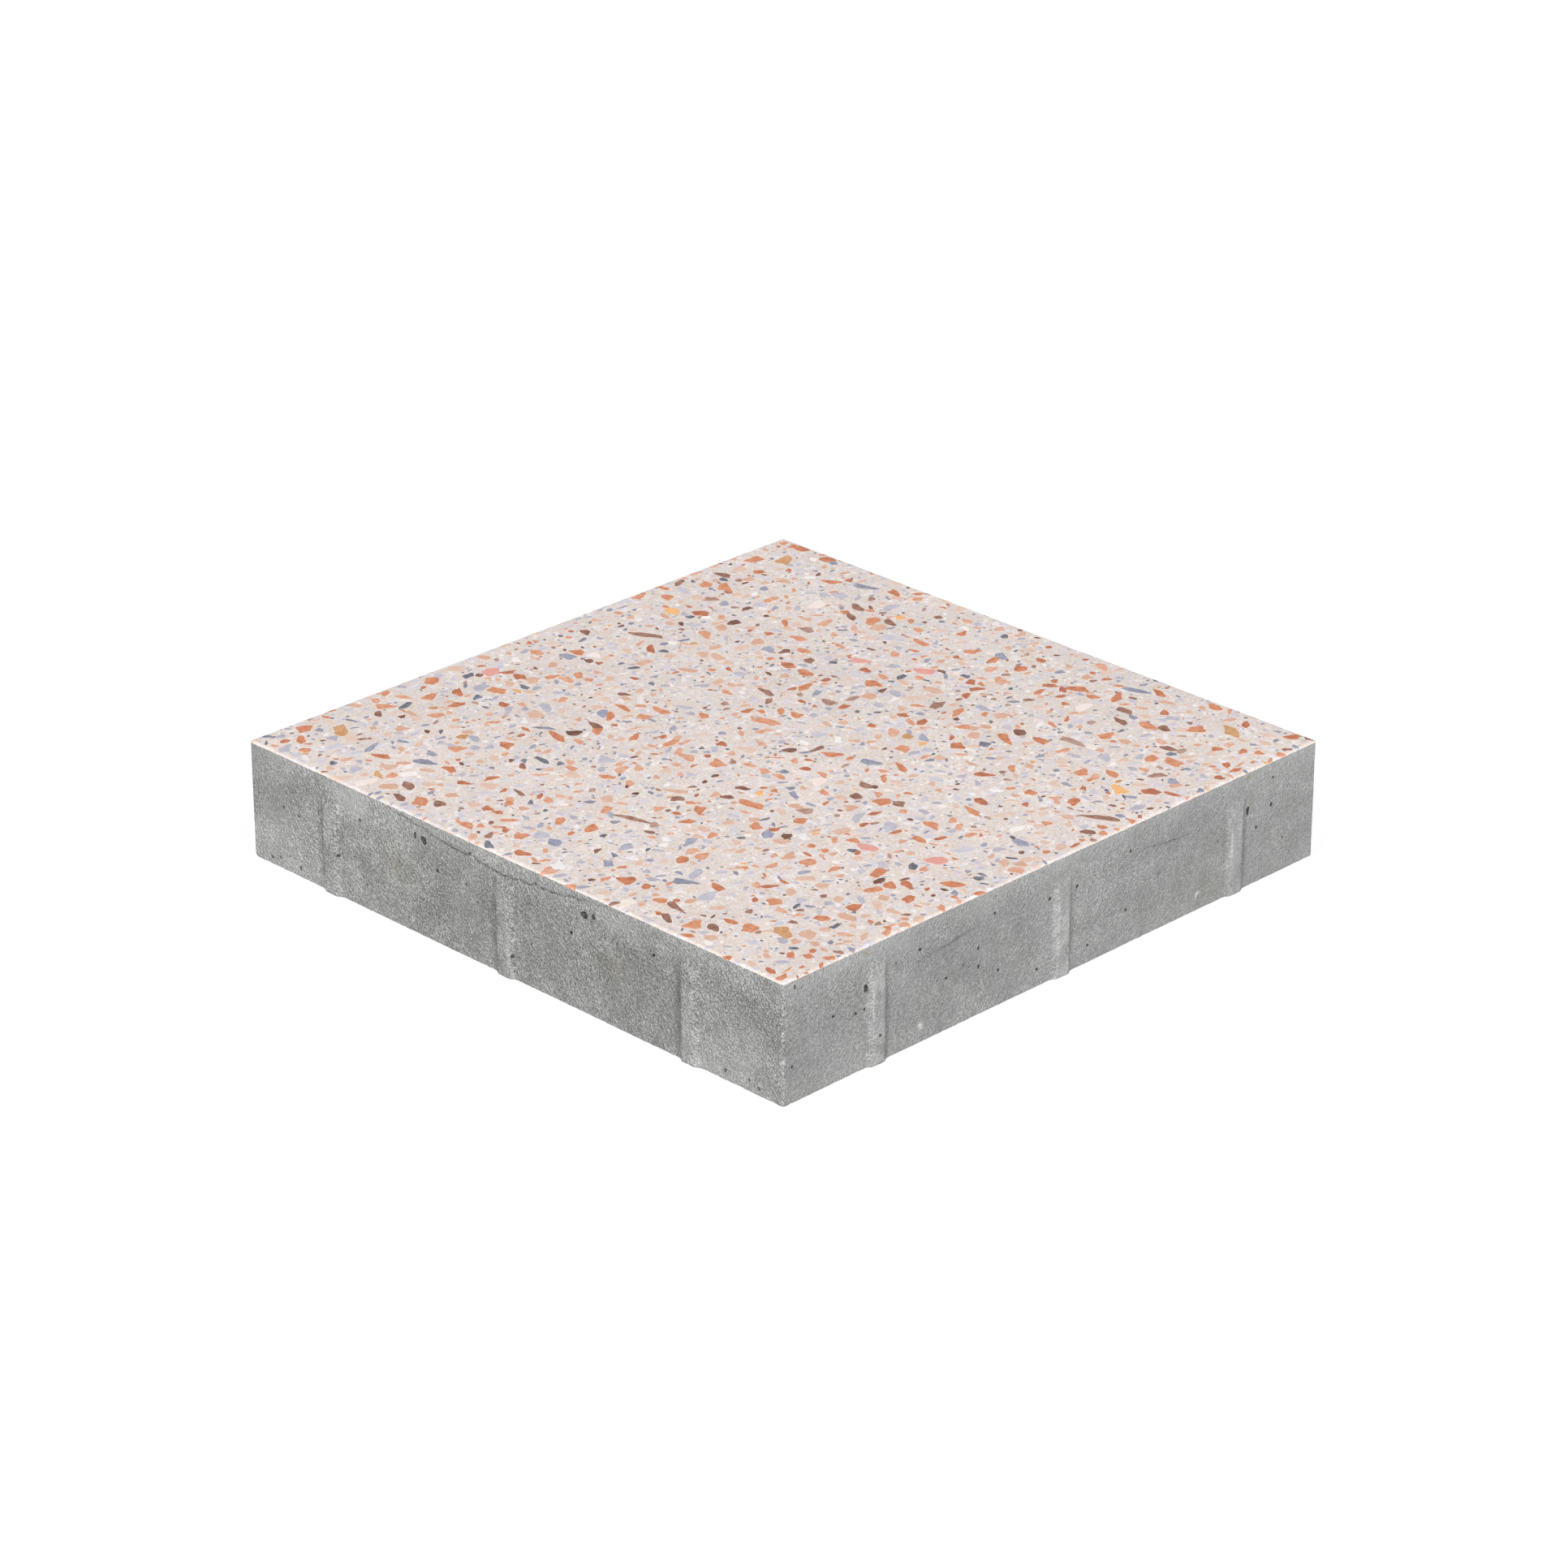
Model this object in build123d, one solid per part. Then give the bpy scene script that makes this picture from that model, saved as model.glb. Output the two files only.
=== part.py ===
"""A square concrete paving slab with a ground face and moulded spacer nibs on all four sides.

The slab is pressed in one piece. It lies flat, face up: the origin is the middle of its underside,
+Z points up through the face, and X and Y run along its sides. All lengths are millimetres.
"""

import os

from build123d import *

# Driving sizes of the slab
LAYING_MODULE = 300.0  # from the middle of one joint to the middle of the next
JOINT_WIDTH = 3.5  # between two slabs laid nib to nib
THICKNESS = 50.0
CORNER_RADIUS = 1.5  # upright corners, as the mould leaves them
FACE_BEVEL = 0.8  # fine bevel round the ground face
FOOT_RADIUS = 0.5  # worn lower edge

# Driving sizes of the spacer nibs
NIBS_PER_SIDE = 3
NIB_PITCH = 100.0
NIB_WIDTH = 11.6  # on the wall, where its flanks run out
NIB_LAND = 3.0  # flat strip along the crown, which touches the next slab
NIB_SETBACK = 10.0  # from the face down to the top of a nib
NIB_RUN_OUT = 3.0  # height over which the top of a nib slopes back into the wall
NIB_FOOT_BEVEL = 0.6
NIB_ROOT = 4.0  # how far a nib's section reaches back into the slab, so that the two fuse
NIB_FLANK_DIP = 0.05  # how far a flank runs on into the wall, so that the two meet at an angle
NIB_SHOULDER_SHARE = 0.62  # of a flank: its rounded shoulder, above the hollow curve at its root

# Sizes that follow from those
SLAB_SIDE = LAYING_MODULE - JOINT_WIDTH
NIB_REACH = JOINT_WIDTH / 2
NIB_HEIGHT = THICKNESS - NIB_SETBACK


def slab_block() -> Part:
    """The plain slab: a square block with rounded corners, a bevelled face and a worn foot."""
    plan = RectangleRounded(SLAB_SIDE, SLAB_SIDE, CORNER_RADIUS)
    block = extrude(plan, amount=THICKNESS)
    block = chamfer(block.faces().sort_by(Axis.Z)[-1].edges(), FACE_BEVEL)
    return fillet(block.faces().sort_by(Axis.Z)[0].edges(), FOOT_RADIUS)


def nib_section() -> Sketch:
    """A nib seen from above, on a wall along the X axis, standing out towards +Y.

    Each flank is a rounded shoulder and a hollow root: two arcs that pass into each other on the straight
    line between the flank's ends.
    """
    half_width = NIB_WIDTH / 2
    half_land = NIB_LAND / 2
    turn_out = half_land + (half_width - half_land) * NIB_SHOULDER_SHARE
    turn_up = NIB_REACH - (NIB_REACH + NIB_FLANK_DIP) * NIB_SHOULDER_SHARE
    with BuildSketch() as section:
        with BuildLine():
            Line((-half_land, NIB_REACH), (half_land, NIB_REACH))
            for side in (1, -1):
                turn = (side * turn_out, turn_up)
                TangentArc((side * half_land, NIB_REACH), turn, tangent=(side, 0))
                TangentArc((side * half_width, -NIB_FLANK_DIP), turn, tangent=(-side, 0))
            Polyline(
                (half_width, -NIB_FLANK_DIP),
                (half_width, -NIB_ROOT),
                (-half_width, -NIB_ROOT),
                (-half_width, -NIB_FLANK_DIP),
            )
        make_face()
    return section.sketch


def nib_elevation() -> Sketch:
    """A nib seen along its wall: sketch X is outwards from the wall and sketch Y is up."""
    crown_top = NIB_HEIGHT - NIB_RUN_OUT
    with BuildSketch() as elevation:
        with BuildLine():
            Polyline(
                (-NIB_ROOT, 0),
                (NIB_REACH - NIB_FOOT_BEVEL, 0),
                (NIB_REACH, NIB_FOOT_BEVEL),
                (NIB_REACH, crown_top),
                (0, NIB_HEIGHT),
                (-NIB_ROOT, NIB_HEIGHT),
                close=True,
            )
        make_face()
    return elevation.sketch


def spacer_nib() -> Part:
    """One nib at the middle of the wall that faces +Y: its section, trimmed to its elevation."""
    bar = extrude(nib_section(), amount=NIB_HEIGHT)
    along_wall = Plane(origin=(0, 0, 0), x_dir=(0, 1, 0), z_dir=(1, 0, 0))
    trim = extrude(along_wall * nib_elevation(), amount=NIB_WIDTH, both=True)
    return Pos(0, SLAB_SIDE / 2, 0) * (bar & trim)


def paving_slab() -> Part:
    """The whole slab: its block with a row of nibs on each of the four sides, as one solid."""
    nib = spacer_nib()
    first_place = -NIB_PITCH * (NIBS_PER_SIDE - 1) / 2
    row = [Pos(first_place + NIB_PITCH * number, 0, 0) * nib for number in range(NIBS_PER_SIDE)]
    quarter_turns = [Rot(0, 0, quarter) for quarter in (0, 90, 180, 270)]
    return slab_block() + [turn * placed for turn in quarter_turns for placed in row]


def main() -> None:
    """Writes the slab to parts/paving_slab.step."""
    os.makedirs("parts", exist_ok=True)
    slab = paving_slab()
    print("solids", len(slab.solids()), "volume", round(slab.volume), "box", slab.bounding_box().size)
    export_step(slab, "parts/paving_slab.step")


main()
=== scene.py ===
"""The look of a square concrete paving slab: ground, stone-flecked face, sandy pressed sides, spacer nibs.

The slab lies flat in the frame of its solid: the origin is the middle of its underside and +Z points up
through the face. Sizes are millimetres, as a maker writes them, and are turned to metres where a mesh or
a light is made.
"""

import logging
import math
from dataclasses import dataclass
from enum import Enum
from typing import Any

import bpy
import numpy as np
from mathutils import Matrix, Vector


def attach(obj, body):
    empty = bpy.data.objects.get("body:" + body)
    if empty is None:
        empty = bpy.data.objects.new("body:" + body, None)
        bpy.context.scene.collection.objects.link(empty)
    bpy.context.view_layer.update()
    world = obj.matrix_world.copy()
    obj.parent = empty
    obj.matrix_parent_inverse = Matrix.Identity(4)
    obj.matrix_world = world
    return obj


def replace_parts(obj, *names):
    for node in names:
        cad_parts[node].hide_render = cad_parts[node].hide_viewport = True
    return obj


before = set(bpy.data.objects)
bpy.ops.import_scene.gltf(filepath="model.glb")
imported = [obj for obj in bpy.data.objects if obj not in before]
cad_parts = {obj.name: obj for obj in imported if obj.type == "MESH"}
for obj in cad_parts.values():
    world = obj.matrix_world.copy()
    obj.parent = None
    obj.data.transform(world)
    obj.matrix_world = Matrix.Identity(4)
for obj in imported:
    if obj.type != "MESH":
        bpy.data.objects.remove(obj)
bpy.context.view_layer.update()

LOG = logging.getLogger("paving_slab")
MM = 0.001
NODE = "paving_slab"
BODY = "root"
BAKE_MAP = "OFBake"

GRAIN_STRETCH = 1.6  # length to width of the grain on the walls
SAND_NOISE = {"Detail": 2.0, "Roughness": 0.6}
BROKEN_NOISE = {"Detail": 3.0, "Roughness": 0.6}
STAIN_NOISE = {"Detail": 4.0, "Roughness": 0.65}
TOUCH = 1.0e-6  # millimetres within which two places are the same

Array = np.ndarray
Colour = tuple[float, float, float, float]
Rows = tuple[tuple[float, ...], ...]
Tree = bpy.types.NodeTree
Socket = bpy.types.NodeSocket
Piece = bpy.types.Object


def srgb(hex_colour: str) -> Colour:
    """Turns an sRGB hex colour to linear light.

    A part c becomes c / 12.92 up to 0.04045, and ((c + 0.055) / 1.055) to the power of 2.4 above that.

    Args:
        hex_colour: the colour as six hex digits after a hash.

    Returns:
        Linear red, green and blue, with an alpha of one.
    """
    parts = np.array([int(hex_colour[i : i + 2], 16) for i in (1, 3, 5)]) / 255.0
    linear = np.where(parts <= 0.04045, parts / 12.92, ((parts + 0.055) / 1.055) ** 2.4)
    return (float(linear[0]), float(linear[1]), float(linear[2]), 1.0)


def add_node(tree: Tree, kind: str, inputs: dict | None = None, **settings: Any) -> bpy.types.Node:
    """Adds one shader node with its settings, and links or fills its inputs.

    Args:
        tree: the material's node tree.
        kind: Blender's name for the node type.
        inputs: input name or number to a value, or to an output socket to link from.
        settings: the node's own properties; stops fills a colour ramp with (place, colour) pairs.

    Returns:
        The new node.
    """
    node = tree.nodes.new(kind)
    stops = settings.pop("stops", None)
    for name, value in settings.items():
        setattr(node, name, value)
    if stops:
        ramp = node.color_ramp.elements
        while len(ramp) < len(stops):
            ramp.new(1.0)
        for element, (place, colour) in zip(ramp, stops):
            element.position = place
            element.color = colour
    for name, value in (inputs or {}).items():
        if isinstance(value, Socket):
            tree.links.new(value, node.inputs[name])
        else:
            node.inputs[name].default_value = value
    return node


def new_material(name: str) -> tuple[bpy.types.Material, Tree, bpy.types.Node, Socket]:
    """Starts a material with a plain shader.

    Args:
        name: what the finish is called.

    Returns:
        The material, its node tree, its shader node and the object-space place of a shaded point.
    """
    material = bpy.data.materials.new(name)
    material.use_nodes = True
    tree = material.node_tree
    shader = tree.nodes["Principled BSDF"]
    place = add_node(tree, "ShaderNodeTexCoord").outputs["Object"]
    return material, tree, shader, place


def per_metre(size_mm: float) -> float:
    """Gives a pattern's texture scale, in features to the metre, from a feature's size in millimetres."""
    return 1.0 / (size_mm * MM)


class Wall(Enum):
    """The four walls, counted the way the outline runs: each value is a number of quarter turns."""

    FRONT_RIGHT = 0
    BACK_RIGHT = 1
    BACK_LEFT = 2
    FRONT_LEFT = 3


@dataclass(frozen=True)
class SlabSizes:
    """Sizes of the plain block: those of the solid, with a softer edge round the face."""

    side: float = 296.5
    thickness: float = 50.0
    corner_radius: float = 1.5
    arris_width: float = 1.7  # soft edge round the face
    arris_drop: float = 0.6
    foot_radius: float = 0.5
    mortar_drop: float = 0.08  # the mortar is ground a little lower than the stones in it

    @property
    def half(self) -> float:
        """Half the block's side."""
        return self.side / 2

    @property
    def straight(self) -> float:
        """Half the straight run of a wall, between its rounded corners."""
        return self.half - self.corner_radius

    @property
    def corner_length(self) -> float:
        """Length of the outline round one corner."""
        return self.corner_radius * math.pi / 2

    @property
    def around(self) -> float:
        """Length of the whole outline."""
        return 4 * (2 * self.straight + self.corner_length)

    @property
    def mortar_top(self) -> float:
        """Height of the ground mortar."""
        return self.thickness - self.mortar_drop

    @property
    def wall_top(self) -> float:
        """Height at which a wall ends and the soft edge of the face begins."""
        return self.mortar_top - self.arris_drop

    @property
    def arris_slope(self) -> float:
        """Slope of the soft edge where it meets the wall, in radians: its arc is tangent to the face."""
        return 2 * math.atan2(self.arris_drop, self.arris_width)

    @property
    def arris_radius(self) -> float:
        """Radius of the arc that rounds the edge of the face."""
        return self.arris_width / math.sin(self.arris_slope)

    def inset(self, up: Array) -> Array:
        """Gives how far the block's outline is drawn in at each height.

        The foot is a quarter circle, the wall is plumb and the edge of the face is a shallow arc.

        Args:
            up: heights above the underside.

        Returns:
            Distances inwards from the wall, of the same shape.
        """
        drop = np.clip(self.foot_radius - up, 0.0, self.foot_radius)
        foot = self.foot_radius - np.sqrt(self.foot_radius**2 - drop**2)
        fall = np.clip(self.mortar_top - up, 0.0, self.arris_drop)
        arris = self.arris_width - np.sqrt(self.arris_radius**2 - (self.arris_radius - fall) ** 2)
        return foot + arris

    def fall(self, points: Array) -> Array:
        """Gives how far the face has dropped at each place, along the same arc.

        Args:
            points: places on the face, the last axis holding two coordinates.

        Returns:
            Drops below the flat middle of the face.
        """
        inside = self.half - np.max(np.abs(points), axis=-1)
        beyond = np.clip(self.arris_width - inside, 0.0, self.arris_width)
        return self.arris_radius - np.sqrt(self.arris_radius**2 - beyond**2)

    def hold(self, points: Array, margin: float) -> Array:
        """Draws points that lie outside the block's outline back to it.

        Args:
            points: places in plan, the last axis holding two coordinates.
            margin: how far inside the outline they have to stay.

        Returns:
            The places, each at most a corner radius less the margin from the square of straight runs.
        """
        core = np.clip(points, -self.straight, self.straight)
        over = points - core
        length = np.linalg.norm(over, axis=-1, keepdims=True)
        return core + over * np.minimum(1.0, (self.corner_radius - margin) / np.maximum(length, TOUCH))


@dataclass(frozen=True)
class NibSizes:
    """Sizes of the spacer nibs, the same as in the solid."""

    places: tuple[float, ...] = (-100.0, 0.0, 100.0)
    width: float = 11.6
    reach: float = 1.75
    land: float = 3.0
    height: float = 40.0
    run_out: float = 3.0
    foot_bevel: float = 0.6
    flank_dip: float = 0.05
    shoulder_share: float = 0.62
    land_stop: float = 0.5  # from the middle of the land to a mesh column
    flank_stops: int = 9  # mesh columns on a flank
    none: float = -1.0e6  # stands for no nib here

    def stops(self) -> Array:
        """Lists where mesh columns cross a nib, from its middle."""
        flank = np.linspace(self.land / 2, self.width / 2, self.flank_stops)
        one_side = np.concatenate([[self.land_stop], flank])
        return np.concatenate([-one_side[::-1], one_side])

    def reach_at(self, along: Array, up: Array) -> Array:
        """Gives how far a nib stands out of its wall.

        Its section is a flat land with a flank on either side. A flank is a rounded shoulder and a hollow
        root: two arcs that are level at the flank's ends and pass into each other on the straight line
        between them, where both slope by twice that line's angle. The elevation cuts the section off with a
        bevel at the foot and a slope back into the wall at the top.

        Args:
            along: distances along the wall from its middle.
            up: heights above the underside.

        Returns:
            The reach, or a very low number where there is no nib.
        """
        aside = np.min(np.abs(along[..., None] - np.array(self.places)), axis=-1)
        run = (self.width - self.land) / 2
        steepest = 2 * math.atan2(self.reach + self.flank_dip, run)
        shoulder = self.shoulder_share * run / math.sin(steepest)
        root = (1.0 - self.shoulder_share) * run / math.sin(steepest)
        across = np.clip(aside - self.land / 2, 0.0, run)
        above = self.reach - shoulder + np.sqrt(np.maximum(shoulder**2 - across**2, 0.0))
        below = root - self.flank_dip - np.sqrt(np.maximum(root**2 - (run - across) ** 2, 0.0))
        section = np.where(across <= self.shoulder_share * run, above, below)
        rising = self.reach - self.foot_bevel + up
        falling = self.reach * (self.height - up) / self.run_out
        limit = np.minimum(self.reach, np.minimum(rising, falling))
        here = (aside <= self.width / 2 + TOUCH) & (up <= self.height)
        return np.where(here, np.minimum(section, limit), self.none)


@dataclass(frozen=True)
class Spot:
    """An oval place on a wall: a bug hole left by trapped air, or a soft-edged mark."""

    wall: Wall
    along: float  # from the wall's left end, seen from outside
    below: float  # from the face
    wide: float
    tall: float
    share: float = 1.0  # how strong a mark is


@dataclass(frozen=True)
class Fissure:
    """A shallow crack where the mix tore as it was pressed: a line of (along, below) points."""

    wall: Wall
    line: tuple[tuple[float, float], ...]
    depth: float
    spread: float


def spots(walls: dict[Wall, Rows]) -> tuple[Spot, ...]:
    """Makes spots from each wall's rows of along, below, wide, tall and, for a mark, share."""
    return tuple(Spot(wall, *row) for wall, rows in walls.items() for row in rows)


# Bug holes, cracks and marks that show on the two walls in view
SEEN_HOLLOWS = spots(
    {
        Wall.FRONT_LEFT: (
            (98.0, 8.3, 1.5, 2.7), (103.0, 8.8, 3.2, 3.2), (192.5, 9.0, 3.4, 3.2), (197.4, 8.2, 1.8, 2.7),
            (129.5, 5.4, 1.3, 1.5), (166.0, 5.4, 1.2, 1.5), (110.4, 19.1, 1.3, 1.5),
            (185.2, 19.0, 1.3, 1.5), (65.7, 12.7, 1.3, 1.3), (229.5, 12.6, 1.3, 1.5),
            (152.6, 40.4, 1.3, 1.5), (28.6, 23.5, 1.1, 1.1), (11.4, 47.0, 1.7, 1.4), (16.4, 45.4, 1.3, 1.3),
            (28.6, 46.2, 1.7, 1.7), (266.8, 46.0, 1.7, 1.7), (279.2, 45.4, 1.3, 1.3),
            (284.2, 47.0, 1.8, 1.5), (52.5, 32.3, 1.3, 1.4),
        ),
        Wall.FRONT_RIGHT: (
            (42.4, 17.2, 1.8, 3.6), (255.3, 17.0, 1.8, 3.6), (141.2, 15.3, 1.5, 1.5),
            (156.5, 15.4, 1.5, 1.5), (48.5, 38.1, 1.5, 1.6), (113.2, 35.2, 1.3, 1.3),
            (184.9, 35.3, 1.3, 1.3), (134.8, 42.7, 1.4, 1.3), (163.2, 42.6, 1.4, 1.3),
            (25.6, 22.5, 1.3, 1.2), (37.2, 25.6, 1.3, 1.3), (41.8, 25.5, 1.2, 1.2), (260.9, 25.9, 1.3, 1.3),
            (111.0, 10.8, 1.2, 1.4), (186.7, 11.0, 1.3, 1.5), (6.0, 3.4, 1.3, 2.0), (4.4, 35.1, 1.2, 1.2),
        ),
    }
)
SEEN_FISSURES = (
    Fissure(
        Wall.FRONT_LEFT,
        (
            (78.0, 1.4), (90.0, 2.6), (104.0, 4.2), (113.0, 5.6), (129.0, 6.6), (138.0, 7.3), (148.0, 8.3),
            (155.5, 7.4), (165.0, 6.5), (173.0, 6.0), (183.0, 4.5), (194.0, 2.9), (206.0, 1.6),
        ),
        depth=0.36,
        spread=0.34,
    ),
    Fissure(
        Wall.FRONT_RIGHT,
        ((70.0, 15.7), (80.0, 15.3), (90.0, 14.3), (100.0, 12.9), (110.0, 11.8)),
        depth=0.24,
        spread=0.32,
    ),
    Fissure(
        Wall.FRONT_RIGHT,
        ((186.0, 11.8), (200.0, 13.4), (208.0, 14.6), (220.0, 15.4), (228.0, 15.7)),
        depth=0.24,
        spread=0.32,
    ),
)
PALE_MARKS = spots(
    {
        Wall.FRONT_LEFT: (
            (22.0, 48.0, 110.0, 70.0, 0.09), (264.0, 48.0, 96.0, 70.0, 0.09), (62.0, 5.0, 36.0, 20.0, 0.15),
            (212.0, 5.0, 36.0, 20.0, 0.15),
        ),
        Wall.FRONT_RIGHT: (
            (71.0, 42.6, 3.0, 2.0, 0.55), (71.6, 43.6, 1.7, 3.4, 0.5), (226.9, 42.6, 2.6, 1.8, 0.55),
            (226.3, 43.6, 1.5, 3.0, 0.5),
        ),
    }
)
# Thin pale lines along the lit shoulders of the nibs: partly rubbed wear, partly a painted highlight.
ARRIS_WEAR_AND_HIGHLIGHTS = spots(
    {
        Wall.FRONT_RIGHT: (
            (45.2, 26.0, 1.1, 34.0, 0.28), (145.2, 26.0, 1.1, 34.0, 0.22), (245.2, 26.0, 1.1, 34.0, 0.3),
        ),
    }
)
# Darker patches on the walls. The tall narrow bands a few millimetres beside each nib are painted shade: the
# shadow that a nib casts on its wall, on its side away from the light.
DARK_PATCHES_AND_NIB_SHADE = spots(
    {
        Wall.FRONT_LEFT: (
            (146.0, 36.0, 250.0, 64.0, 0.08), (4.0, 3.0, 40.0, 18.0, 0.13), (292.0, 3.0, 40.0, 18.0, 0.13),
            (42.6, 32.0, 6.0, 52.0, 0.3), (142.6, 32.0, 6.0, 52.0, 0.36), (242.6, 32.0, 6.0, 52.0, 0.36),
        ),
        Wall.FRONT_RIGHT: (
            (94.3, 26.2, 2.6, 3.4, 0.42), (203.7, 26.2, 2.6, 3.4, 0.42), (53.6, 32.0, 4.0, 52.0, 0.26),
            (153.6, 32.0, 4.0, 52.0, 0.2), (253.6, 32.0, 4.0, 52.0, 0.26),
        ),
    }
)
RUST_STAINS = spots(
    {
        Wall.FRONT_LEFT: (
            (148.0, 25.0, 460.0, 160.0, 0.1), (88.0, 24.0, 5.0, 9.0, 0.5), (88.0, 25.0, 26.0, 20.0, 0.3),
            (206.5, 24.0, 5.0, 9.0, 0.5), (206.5, 25.0, 26.0, 20.0, 0.3),
        ),
        Wall.FRONT_RIGHT: (
            (42.5, 2.6, 4.5, 3.6, 0.8), (39.5, 11.5, 5.0, 14.0, 0.3), (255.0, 2.6, 4.5, 3.6, 0.8),
            (258.0, 11.5, 5.0, 14.0, 0.3),
        ),
    }
)


@dataclass(frozen=True)
class LatticeNoise:
    """A smooth random field in space."""

    seed: int
    pitch: float  # millimetres between lattice points
    cells: int = 61  # lattice points after which the field repeats

    def sample(self, points: Array) -> Array:
        """Reads the field: random lattice values, blended with smoothed weights between eight neighbours.

        Args:
            points: places, the last axis holding three coordinates.

        Returns:
            Values from -1 to 1.
        """
        lattice = np.random.default_rng(self.seed).uniform(-1.0, 1.0, (self.cells,) * 3)
        place = points / self.pitch
        low = np.floor(place).astype(int)
        share = place - low
        share = share * share * (3.0 - 2.0 * share)
        total = np.zeros(points.shape[:-1])
        for corner in np.ndindex(2, 2, 2):
            weight = np.prod(np.where(np.array(corner) == 1, share, 1.0 - share), axis=-1)
            index = (low + np.array(corner)) % self.cells
            total += weight * lattice[index[..., 0], index[..., 1], index[..., 2]]
        return total


@dataclass(frozen=True)
class NoiseLayer:
    """One size of noise in the greys of the concrete."""

    size_mm: float
    detail: float
    weight: float


@dataclass(frozen=True)
class PressedConcrete:
    """Grey pressed concrete, as it leaves the mould: matt and sandy, with leaning grain, and pinholes painted
    as dark dots of shade.
    """

    name: str
    leaning: bool  # the grain follows the attribute lean, and not the object's own axes
    marked: bool = True  # the finish follows the attributes coarse, hollow, stain and pale
    dark: str = "#656665"
    middle: str = "#888988"
    light: str = "#bbbbba"
    rust: str = "#d6c8a2"
    # the dark colour of painted shade: pinholes, cracks and the lee of the nibs, and of the darker patches
    pinhole_shade: str = "#242423"
    pale: str = "#efefed"
    grain: NoiseLayer = NoiseLayer(1.0, 1.0, 0.4)
    fine: NoiseLayer = NoiseLayer(0.6, 0.5, 0.6)
    patch: NoiseLayer = NoiseLayer(8.0, 2.0, 0.2)
    cloud: NoiseLayer = NoiseLayer(46.0, 2.0, 0.2)
    grey_stops: tuple[float, float, float] = (0.22, 0.5, 0.82)  # noise sums at which the three greys lie
    grain_height_mm: float = 0.5
    fine_relief: float = 0.75  # share of the fine noise in the relief
    stain_mm: float = 24.0  # size of the faint stains that lie everywhere
    stain_range: tuple[float, float] = (0.5, 0.75)  # noise values at which a stain begins and is full
    stain_share: float = 0.2
    pinhole_mm: float = 6.0  # size of a cell, which has at most one pinhole
    pinhole_empty: float = 0.55  # share of cells without one
    pinhole_reach: float = 0.09  # largest pinhole's radius, in cells
    pinhole_share: float = 0.7
    roughness: float = 0.93
    specular: float = 0.3

    def material(self) -> bpy.types.Material:
        """Makes the material: greys summed from four sizes of noise, with grain relief as bump.

        Returns:
            The finished material.
        """
        material, tree, shader, place = new_material(self.name)
        grain_place = place
        if self.leaning:
            lean = add_node(tree, "ShaderNodeAttribute", attribute_name="lean").outputs["Vector"]
            slim = {"Vector": lean, "Scale": (1.0 / GRAIN_STRETCH, 1.0, 1.0)}
            grain_place = add_node(tree, "ShaderNodeMapping", slim).outputs["Vector"]
        layers = (self.grain, self.fine, self.patch, self.cloud)
        shade: Any = -sum(layer.weight for layer in layers) / 2
        fields = []
        for layer in layers:
            vector = grain_place if layer is self.grain else place
            noise = {"Vector": vector, "Scale": per_metre(layer.size_mm), "Detail": layer.detail}
            fields.append(add_node(tree, "ShaderNodeTexNoise", noise).outputs["Fac"])
            total = {0: fields[-1], 1: layer.weight, 2: shade}
            shade = add_node(tree, "ShaderNodeMath", total, operation="MULTIPLY_ADD").outputs[0]
        coarse: Any = 1.0
        if self.marked:
            coarse = add_node(tree, "ShaderNodeAttribute", attribute_name="coarse").outputs["Fac"]
        centred = {0: shade, 1: coarse, 2: self.grey_stops[1]}
        shade = add_node(tree, "ShaderNodeMath", centred, operation="MULTIPLY_ADD").outputs[0]
        greys = [srgb(colour) for colour in (self.dark, self.middle, self.light)]
        stops = list(zip(self.grey_stops, greys))
        grey = add_node(tree, "ShaderNodeValToRGB", {"Fac": shade}, stops=stops).outputs["Color"]
        self._mark(tree, shader, place, grey)
        mixed = {0: fields[1], 1: self.fine_relief, 2: fields[0]}
        relief = add_node(tree, "ShaderNodeMath", mixed, operation="MULTIPLY_ADD").outputs[0]
        height = {0: coarse, 1: self.grain_height_mm * MM}
        rise = add_node(tree, "ShaderNodeMath", height, operation="MULTIPLY").outputs[0]
        bump = add_node(tree, "ShaderNodeBump", {"Height": relief, "Strength": 1.0, "Distance": rise})
        tree.links.new(bump.outputs["Normal"], shader.inputs["Normal"])
        shader.inputs["Roughness"].default_value = self.roughness
        shader.inputs["Specular IOR Level"].default_value = self.specular
        return material

    def _mark(self, tree: Tree, shader: bpy.types.Node, place: Socket, grey: Socket) -> None:
        """Adds stains, pale bloom and painted highlights, pinholes painted as dark dots of shade, and painted
        shade in cracks and beside nibs together with darker patches, to the greys, and colours the shader.

        Args:
            tree: the material's node tree.
            shader: its shader node.
            place: object-space place of a shaded point.
            grey: the colour so far.
        """
        faint = {"Vector": place, "Scale": per_metre(self.stain_mm), **STAIN_NOISE}
        cloud = add_node(tree, "ShaderNodeTexNoise", faint).outputs["Fac"]
        low, high = self.stain_range
        kept = {"Value": cloud, "From Min": low, "From Max": high, "To Min": 0.0, "To Max": self.stain_share}
        cloud = add_node(tree, "ShaderNodeMapRange", kept).outputs["Result"]
        marks: dict[str, Any] = {"stain": 0.0, "hollow": 0.0, "pale": 0.0}
        if self.marked:
            for name in marks:
                marks[name] = add_node(tree, "ShaderNodeAttribute", attribute_name=name).outputs["Fac"]
        stained = {0: cloud, 1: marks["stain"]}
        stain = add_node(tree, "ShaderNodeMath", stained, operation="MAXIMUM").outputs[0]
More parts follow.
